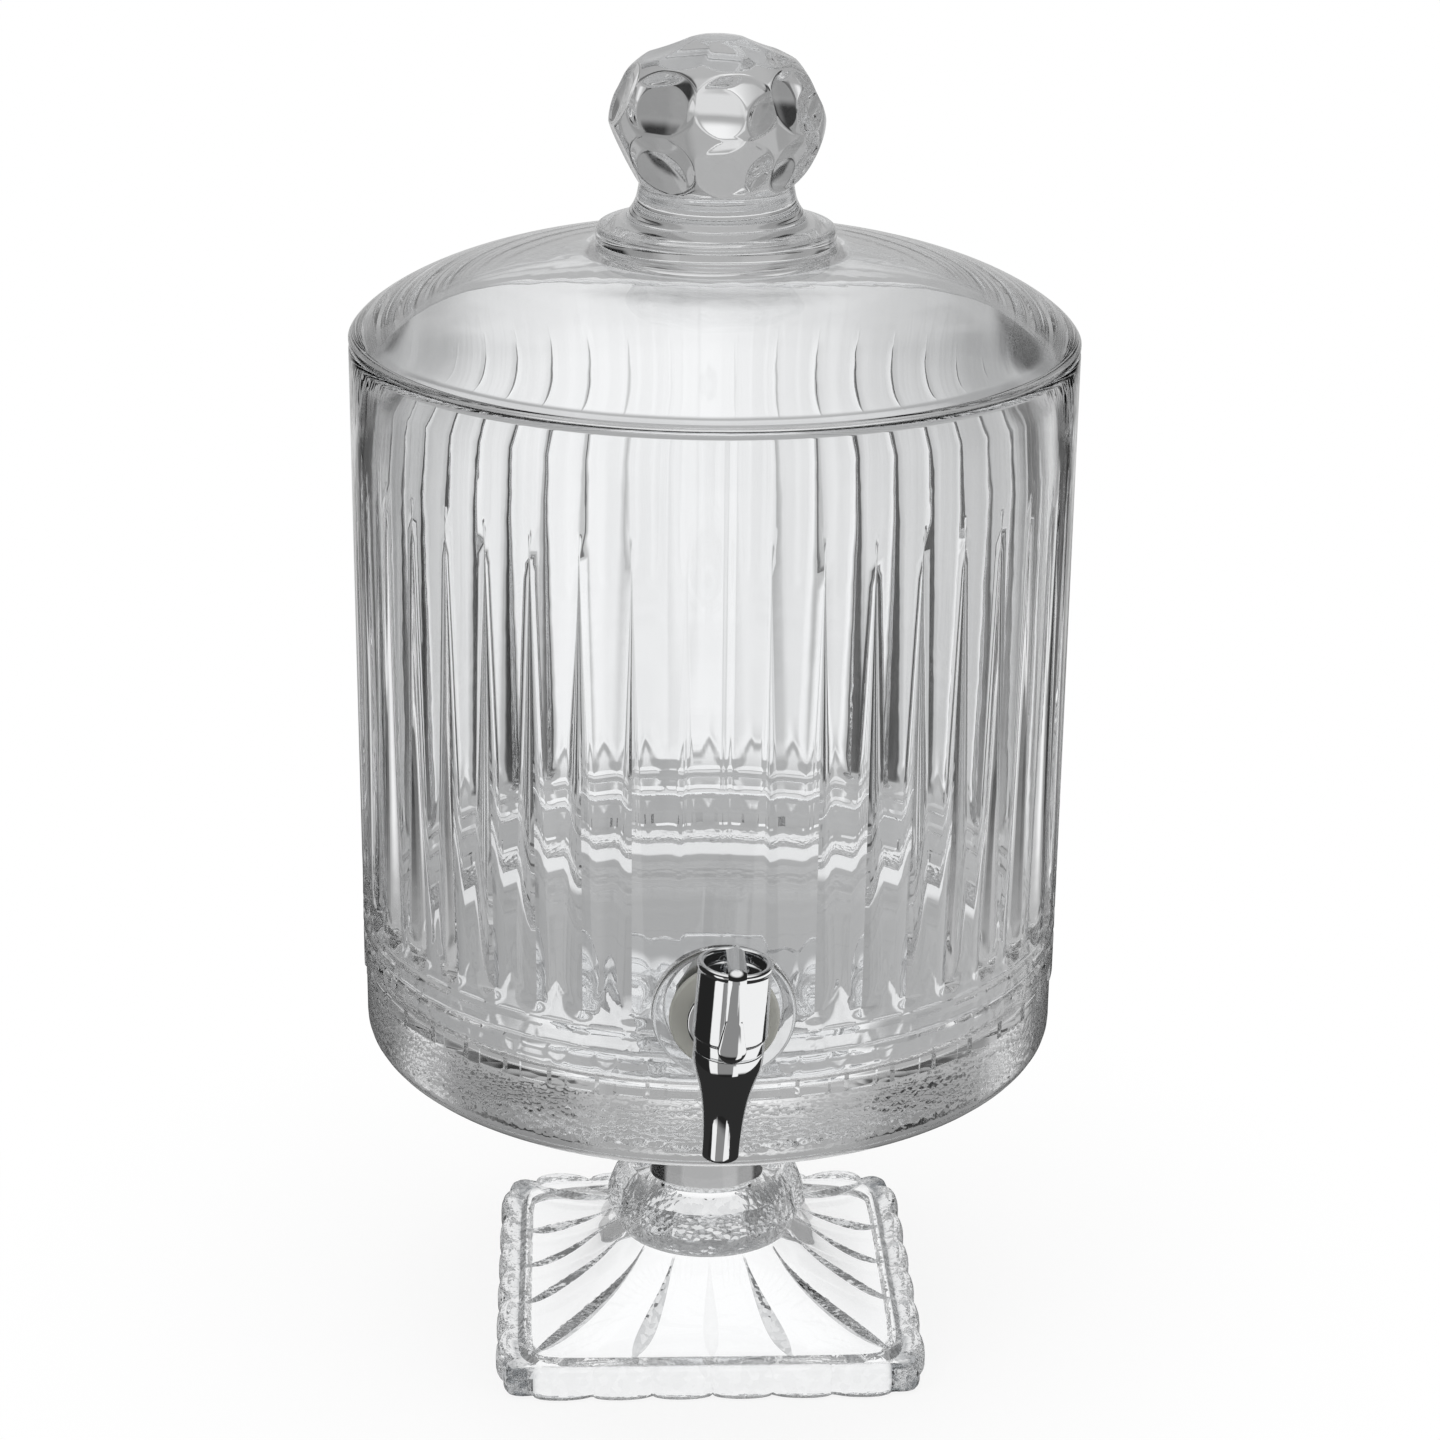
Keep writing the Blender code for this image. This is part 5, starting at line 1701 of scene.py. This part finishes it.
@dataclass
class Lever:
    """The lever: a forked hub on the pin, an arm over the rim and a tongue with a rounded tip."""

    tap: Tap
    swing: float = 90.0
    travel: float = 3 * MM
    width: float = 5.2 * MM
    thickness: float = 2 * MM
    inner: float = 11.9 * MM
    outer: float = 13.9 * MM
    length: float = 24.2 * MM
    bend: float = 1.6 * MM
    underside: float = 1.5 * MM
    hub_front: float = 2.6 * MM
    hub_depth: float = 2.7 * MM
    heel_rows: int = 24
    tip_radius: float = 4 * MM
    tip_proud: float = 0.3 * MM
    tip_taper: float = 9 * MM
    tip_rows: int = 8
    eye_half: float = 1.3 * MM
    eye_room: float = 2.3 * MM
    pin_hole: float = 0.9 * MM
    rounding: float = 0.4 * MM
    rounding_faces: int = 5
    rounding_angle: float = 40
    crown: float = 0.9 * MM
    slices: int = 12

    def heel(self) -> list[Point]:
        """The curve of the heel, which lifts the stem evenly as the lever swings.

        Returns:
            The points from under the pin backwards.
        """
        swing = math.radians(self.swing)
        rate = self.travel / swing
        points = []
        for angle in np.linspace(0, swing, self.heel_rows + 1):
            support = self.hub_depth + rate * angle
            y = support * math.sin(angle) + rate * math.cos(angle)
            z = -support * math.cos(angle) + rate * math.sin(angle)
            points.append((y, z))
        return points

    def side(self, thickness: float) -> list[Point]:
        """Outline of the lever seen from its side.

        Args:
            thickness: Thickness of the arm and the tongue.

        Returns:
            The points, from the heel over the top and down the tongue.
        """
        bend = (self.bend - self.inner, self.underside - self.bend)
        tip_middle = self.tip_radius - self.length
        side = self.heel()
        side.append((self.hub_depth + self.travel - self.thickness, self.underside + thickness))
        side += arc(bend, self.bend + thickness, 90, 180, 12)
        side += [(-self.inner - thickness, tip_middle), (-self.inner, tip_middle)]
        side += arc(bend, self.bend, 180, 90, 10)
        side += [(-self.hub_front, self.underside), (-self.hub_front, -self.hub_depth)]
        return side

    def domed_tip(self, outline: np.ndarray, middle: float) -> bpy.types.Object:
        """Makes the tip, flat behind and domed in front.

        Args:
            outline: Corner points across and up.
            middle: Height of the dome's middle.

        Returns:
            The tip.
        """
        front = -self.outer - self.tip_proud
        shoulder = front + self.crown
        centre = np.array((0.0, middle))
        slices = [(1.0, -self.inner + self.tip_proud)]
        for angle in np.linspace(0, QUARTER, self.tip_rows + 1)[:-1]:
            slices.append((math.cos(angle), shoulder + (front - shoulder) * math.sin(angle)))
        rings = []
        for share, depth in slices:
            flat = centre + (outline - centre) * share
            rings.append(np.column_stack([flat[:, 0], np.full(len(outline), depth), flat[:, 1]]))
        return skin("handle_tip", np.array(rings))

    def build(self) -> None:
        """Builds and dresses the lever."""
        tip_middle = self.tip_radius - self.length
        rings = []
        for share in np.linspace(-0.5, 0.5, self.slices + 1):
            flat = np.array(self.side(self.thickness - self.crown * (2 * share) ** 2))
            rings.append(np.column_stack([flat, np.full(len(flat), share * self.width)]))
        sideways = Matrix(((0, 0, 1), (1, 0, 0), (0, 1, 0))).to_4x4()
        lever = skin("tap_handle", np.array(rings))
        lever.data.transform(sideways)
        tip = arc((0.0, tip_middle), self.tip_radius, 0, -180, 24)
        half_top = self.width / 2 - self.tip_proud
        tip += [(-half_top, tip_middle + self.tip_taper), (half_top, tip_middle + self.tip_taper)]
        carve(lever, Cut.JOIN, self.domed_tip(np.array(tip), tip_middle))
        soften(lever, self.rounding, self.rounding_faces, self.rounding_angle)
        room = self.eye_room
        far = 2 * (self.hub_depth + self.travel)
        opening = [(-room, -far), (far, -far), (far, room), (-room, room)]
        slot = plate("eye_slot", opening, 2 * self.eye_half, sideways)
        hole = rod("pin_hole", self.pin_hole, -self.width, self.width, Matrix.Rotation(QUARTER, 4, "Y"))
        carve(lever, Cut.REMOVE, slot, hole)
        place = self.tap.place(self.tap.reach, self.tap.pivot)
        dress(lever, CHROME, Body.LEVER, ["tap_lever"], place)


@dataclass
class HiddenValve:
    """The small pieces inside the tap. Rigid ones keep their solids; two, which give way as the stem rises,
    are copied into pieces of their own.
    """

    rigid: tuple[str, ...] = ("lever_pin", "valve_stem")
    spring: tuple[str, str] = ("valve_spring", "closing_spring")
    cup: tuple[str, str] = ("seat_cup", "sealing_cup")
    rise: str = "stem_lift"
    swing: str = "lever_swing"

    def copy(self, node: str, name: str) -> bpy.types.Object:
        """Copies a solid and joins its loose triangles.

        Args:
            node: Name of the solid.
            name: Name of the copy.

        Returns:
            The copy.
        """
        source = frame["nodes"][node]
        piece = bpy.data.objects.new(name, source.data.copy())
        bpy.context.scene.collection.objects.link(piece)
        piece.data.transform(source.matrix_world)
        mesh = bmesh.new()
        mesh.from_mesh(piece.data)
        bmesh.ops.remove_doubles(mesh, verts=mesh.verts, dist=SEWN)
        mesh.to_mesh(piece.data)
        mesh.free()
        return piece

    def yielding(self, node: str, name: str, finish: Finish) -> None:
        """Copies a solid into a piece of its own. Its fixed end and the share that it would keep at the
        stem's full rise are worked out but not used, so the piece keeps its shape.

        Args:
            node: Name of the solid that it stands for.
            name: Name of the piece.
            finish: The finish that it gets.
        """
        joints = {joint["name"]: joint for joint in frame["record"]["behaviour"]["joints"]}
        rise = joints[self.rise]
        axis = Vector(rise["axis"])
        pivot = Vector(joints[self.swing]["pos_m"])
        fixed = next(row["fixed_end_z_m"] for row in rise["deforming_nodes"] if row["node"] == node)
        anchor = pivot + axis * ((fixed - pivot.z) / axis.z)
        length = (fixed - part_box(node)[0][2]) / axis.z
        keep = 1 - rise["range_m"][1] / length
        piece = dress(self.copy(node, name), finish, Body.JAR, [node])
        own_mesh(piece)

    def build(self) -> None:
        """Finishes the rigid solids and builds the two pieces that give way."""
        for name in self.rigid:
            node = frame["nodes"][name]
            node.data.materials.clear()
            node.data.materials.append(STEEL.material())
            LOG.info("%s keeps its solid shape", name)
        self.yielding(*self.spring, STEEL)
        self.yielding(*self.cup, SILICONE)


# The studio


@dataclass
class StudioCamera:
    """The camera, where the photograph was taken from. Angles are in degrees."""

    distance: float = 1.01841
    height: float = 0.57585
    azimuth: float = -2.4
    pitch: float = 20.05
    roll: float = 0.597
    pan: float = 0.15
    lens: float = 86.41
    sensor: float = 36.0

    @staticmethod
    def turn(first: Vector, second: Vector, degrees: float) -> tuple[Vector, Vector]:
        """Turns two directions within their plane.

        Args:
            first: The first direction.
            second: The second, at right angles to it.
            degrees: Angle from the first towards the second.

        Returns:
            Both directions after the turn.
        """
        angle = math.radians(degrees)
        ahead = first * math.cos(angle) + second * math.sin(angle)
        aside = second * math.cos(angle) - first * math.sin(angle)
        return ahead, aside

    def build(self) -> None:
        """Sets the camera up."""
        azimuth = math.radians(self.azimuth)
        pitch = math.radians(self.pitch)
        sine = math.sin(azimuth)
        cosine = math.cos(azimuth)
        ahead = Vector((-sine * math.cos(pitch), cosine * math.cos(pitch), -math.sin(pitch)))
        right = Vector((cosine, sine, 0))
        above = right.cross(ahead)
        ahead, right = self.turn(ahead, right, self.pan)
        right, above = self.turn(right, above, self.roll)
        data = bpy.data.cameras.new("studio_camera")
        data.sensor_width = self.sensor
        data.lens = self.lens
        camera = bpy.data.objects.new("studio_camera", data)
        stand = Vector((self.distance * sine, AXIS_Y - self.distance * cosine, self.height))
        turn = Matrix((right, above, -ahead)).transposed().to_4x4()
        camera.matrix_world = Matrix.Translation(stand) @ turn
        bpy.context.scene.collection.objects.link(camera)
        bpy.context.scene.camera = camera


@dataclass
class StudioFloor:
    """A round pale floor that fades into the white background and keeps the object's shadow.

    Through glass it shows painted light: a bright pool under the foot and a bright patch behind the jar,
    with grey painted shade elsewhere. Metal sees it dark.
    """

    radius: float = 0.30
    top: float = -0.2 * MM
    bottom: float = -2 * MM
    columns: int = 96
    colour: Colour = (0.86, 0.86, 0.86)
    roughness: float = 0.7
    fade_start: float = 0.06
    fade_end: float = 0.9
    fade: float = 0.88
    # Seen through glass: a painted pool of light under the foot and grey painted shade around it.
    foot_edge: Point = (0.07, 0.088)
    painted_light_under_foot: float = 1.02
    grey: float = 0.41
    # A painted bright patch behind the jar, seen through glass.
    behind: Band = Band(0.11, 0.205, 0.012)
    behind_edge: Point = (0.06, 0.1)
    painted_light_behind: float = 0.9
    in_metal: float = 0.03

    def build(self) -> None:
        """Lays the floor."""
        floor = rod("studio_floor", self.radius, self.bottom, self.top, JAR_AXIS, self.columns)
        material = bpy.data.materials.new("studio_white")
        material.use_nodes = True
        nodes = material.node_tree.nodes
        write = NodeWriter(material.node_tree)
        shader = nodes["Principled BSDF"]
        write.feed(shader, Base_Color=(*self.colour, 1.0), Roughness=self.roughness)
        x, y, _ = write.split(write.place())
        away = y - AXIS_Y
        rays = write.node("ShaderNodeLightPath")
        through = write.output(rays, "Is Transmission Ray")
        camera = write.output(rays, "Is Camera Ray")
        mirrored = write.output(rays, "Is Glossy Ray") * (1.0 - through)
        radius = (x**2.0 + away**2.0).root()
        fade = write.ramp(radius, self.fade_start, self.radius * self.fade_end, self.fade, 1.0)
        share = (fade * camera).most(through.most(mirrored))
        # Painted light and shade through glass: bright under the foot, grey painted shade further out.
        table = write.ramp(abs(x).most(abs(away)), *self.foot_edge, self.painted_light_under_foot, self.grey)
        # Painted light: a bright patch on the floor behind the jar.
        behind = write.ramp(abs(x), *self.behind_edge, self.painted_light_behind, 0.0)
        behind = write.window(away, self.behind) * behind
        level = camera.most(table.most(behind) * through).most(mirrored * self.in_metal)
        glow = write.call("ShaderNodeEmission", [level])
        surface = write.call("ShaderNodeMixShader", (share, write.output(shader), glow))
        write.feed(nodes["Material Output"], Surface=surface)
        floor.data.materials.append(material)


@dataclass
class StudioWorld:
    """White to the camera, a pale wall with darker cards to glass and soft boxes to metal.

    Bands and edges are in degrees, upwards or sideways. The wall's pattern repeats round the jar.
    """

    repeat: float = 45.0
    grey: float = 0.43
    glow: float = 0.97
    glow_side: float = 0.52
    glow_edge: Point = (1.0, 12.5)
    glow_height: Band = Band(-21.5, -12.5, 1.5)
    card_edge: Point = (14.5, 18.0)
    card_low: Point = (-24.0, -20.0)
    card_high: Point = (-15.5, -12.0)
    card_levels: Point = (0.95, 0.3)
    card_outer: Point = (26.0, 30.0)
    card_outer_level: float = 0.75
    shelf_height: Band = Band(-11.0, -4.0, 1.5)
    shelf_edge: Point = (6.0, 12.0)
    shelf_level: float = 0.75
    high_card_height: Band = Band(25.0, 37.0, 3.0)
    high_card_side: Band = Band(28.0, 42.0, 2.0)
    ceiling_edge: Point = (40.0, 60.0)
    ceiling_level: float = 0.9
    box_height: Band = Band(-37.0, 8.0, 3.0)
    left_box: Band = Band(-64.0, -36.0, 2.0)
    right_box: Band = Band(22.0, 132.0, 4.0)
    front_card: Band = Band(-36.0, 22.0, 4.0)
    front_level: float = 0.28
    strip_side: Band = Band(14.0, 34.0, 2.0)
    strip_height: Band = Band(-70.0, -20.0, 3.0)
    rear_edge: Point = (146.0, 160.0)
    rear_low: Point = (-24.0, -16.0)
    rear_level: float = 0.6
    darkest: float = 0.02

    def wall(self, write: NodeWriter, up: Signal, behind: Signal) -> Signal:
        """What glass sees of the wall and its cards.

        Args:
            write: Writer of the world's tree.
            up: Angle above the horizon.
            behind: Angle sideways from behind the jar.

        Returns:
            The brightness.
        """
        aside = behind.zigzag(self.repeat)
        off = aside.least((self.repeat - aside) * 2.0)
        dark = write.ramp(up, *self.card_low) * write.ramp(up, *self.card_high, *self.card_levels)
        card = write.ramp(off, *self.card_edge) * dark
        card = card * write.ramp(aside, *self.card_outer, 1.0, self.card_outer_level)
        glow = write.ramp(off, *self.glow_edge, self.glow, self.glow_side)
        wall = write.ramp(write.window(up, self.glow_height), 0.0, 1.0, self.grey, glow) * (1.0 - card)
        high_card = write.window(up, self.high_card_height) * write.window(aside, self.high_card_side)
        shelf = write.ramp(off, *self.shelf_edge, self.shelf_level, 0.0)
        shelf = write.window(up, self.shelf_height) * shelf
        return (wall * (1.0 - high_card)).most(shelf)

    def room(self, write: NodeWriter, up: Signal, front: Signal) -> Signal:
        """What metal sees of the soft boxes and the room.

        Args:
            write: Writer of the world's tree.
            up: Angle above the horizon.
            front: Angle sideways from before the jar.

        Returns:
            The brightness.
        """
        boxes = write.window(front, self.left_box).most(write.window(front, self.right_box))
        boxes = boxes.most(write.window(front, self.front_card) * self.front_level)
        boxes = boxes * write.window(up, self.box_height)
        strip = write.window(front, self.strip_side) * write.window(up, self.strip_height)
        rear = write.ramp(abs(front), *self.rear_edge) * self.rear_level * write.ramp(up, *self.rear_low)
        return boxes.most(strip).most(rear.most(self.darkest))

    def build(self) -> None:
        """Makes the world's background."""
        world = bpy.data.worlds.new("studio")
        bpy.context.scene.world = world
        world.use_nodes = True
        write = NodeWriter(world.node_tree)
        x, y, z = write.split(write.output(write.node("ShaderNodeTexCoord"), "Generated"))
        degrees = 180 / math.pi
        up = write.math("ARCSINE", z) * degrees
        behind = write.math("ARCTAN2", x, y) * degrees
        front = write.math("ARCTAN2", x, -y) * degrees
        ceiling = write.ramp(up, *self.ceiling_edge, 0.0, self.ceiling_level)
        rays = write.node("ShaderNodeLightPath")
        through = write.output(rays, "Is Transmission Ray")
        seen_by_glass = self.wall(write, up, behind).most(ceiling) * through
        seen_by_metal = self.room(write, up, front).most(ceiling) * (1.0 - through)
        level = (seen_by_glass + seen_by_metal).most(write.output(rays, "Is Camera Ray"))
        write.feed(world.node_tree.nodes["Background"], Color=level, Strength=1.0)


@dataclass(frozen=True)
class Lamp:
    """A square soft lamp, hidden from mirror and glass rays."""

    name: str
    place: tuple[float, float, float]
    size: float
    power: float

    def hang(self, target: Vector) -> None:
        """Hangs the lamp.

        Args:
            target: Point that the lamp faces.
        """
        light = bpy.data.lights.new(self.name, "AREA")
        light.size = self.size
        light.energy = self.power
        lamp = bpy.data.objects.new(self.name, light)
        lamp.visible_glossy = False
        lamp.visible_transmission = False
        lamp.location = self.place
        aim = target - Vector(self.place)
        lamp.rotation_euler = aim.to_track_quat("-Z", "Y").to_euler()
        bpy.context.scene.collection.objects.link(lamp)


@dataclass
class Studio:
    """Camera, floor, world and lamps, and how often light may bounce in the glass."""

    lamps: tuple[Lamp, ...] = (
        Lamp("key_box", (-0.9, -0.9, 1.1), size=0.8, power=9.0),
        Lamp("fill_box", (1.1, -0.6, 0.8), size=0.9, power=6.0),
        Lamp("top_box", (0.0, 0.1, 1.5), size=1.0, power=8.0),
    )
    target: Vector = Vector((0, AXIS_Y, 0.2))
    bounces: int = 28
    mirror_bounces: int = 20

    def build(self) -> None:
        """Builds the whole studio."""
        StudioCamera().build()
        StudioFloor().build()
        StudioWorld().build()
        for lamp in self.lamps:
            lamp.hang(self.target)
        scene = bpy.context.scene
        scene.view_settings.view_transform = "Standard"
        scene.cycles.max_bounces = self.bounces
        scene.cycles.transmission_bounces = self.bounces
        scene.cycles.glossy_bounces = self.mirror_bounces


def main() -> None:
    """Builds every piece in order."""
    logging.basicConfig(level=logging.INFO, format="%(name)s: %(message)s")
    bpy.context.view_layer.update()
    Studio().build()
    Jar().build()
    Foot().build()
    Lid().build()
    tap = Tap()
    tap.build()
    Lever(tap).build()
    HiddenValve().build()


if __name__ == "__main__":
    main()
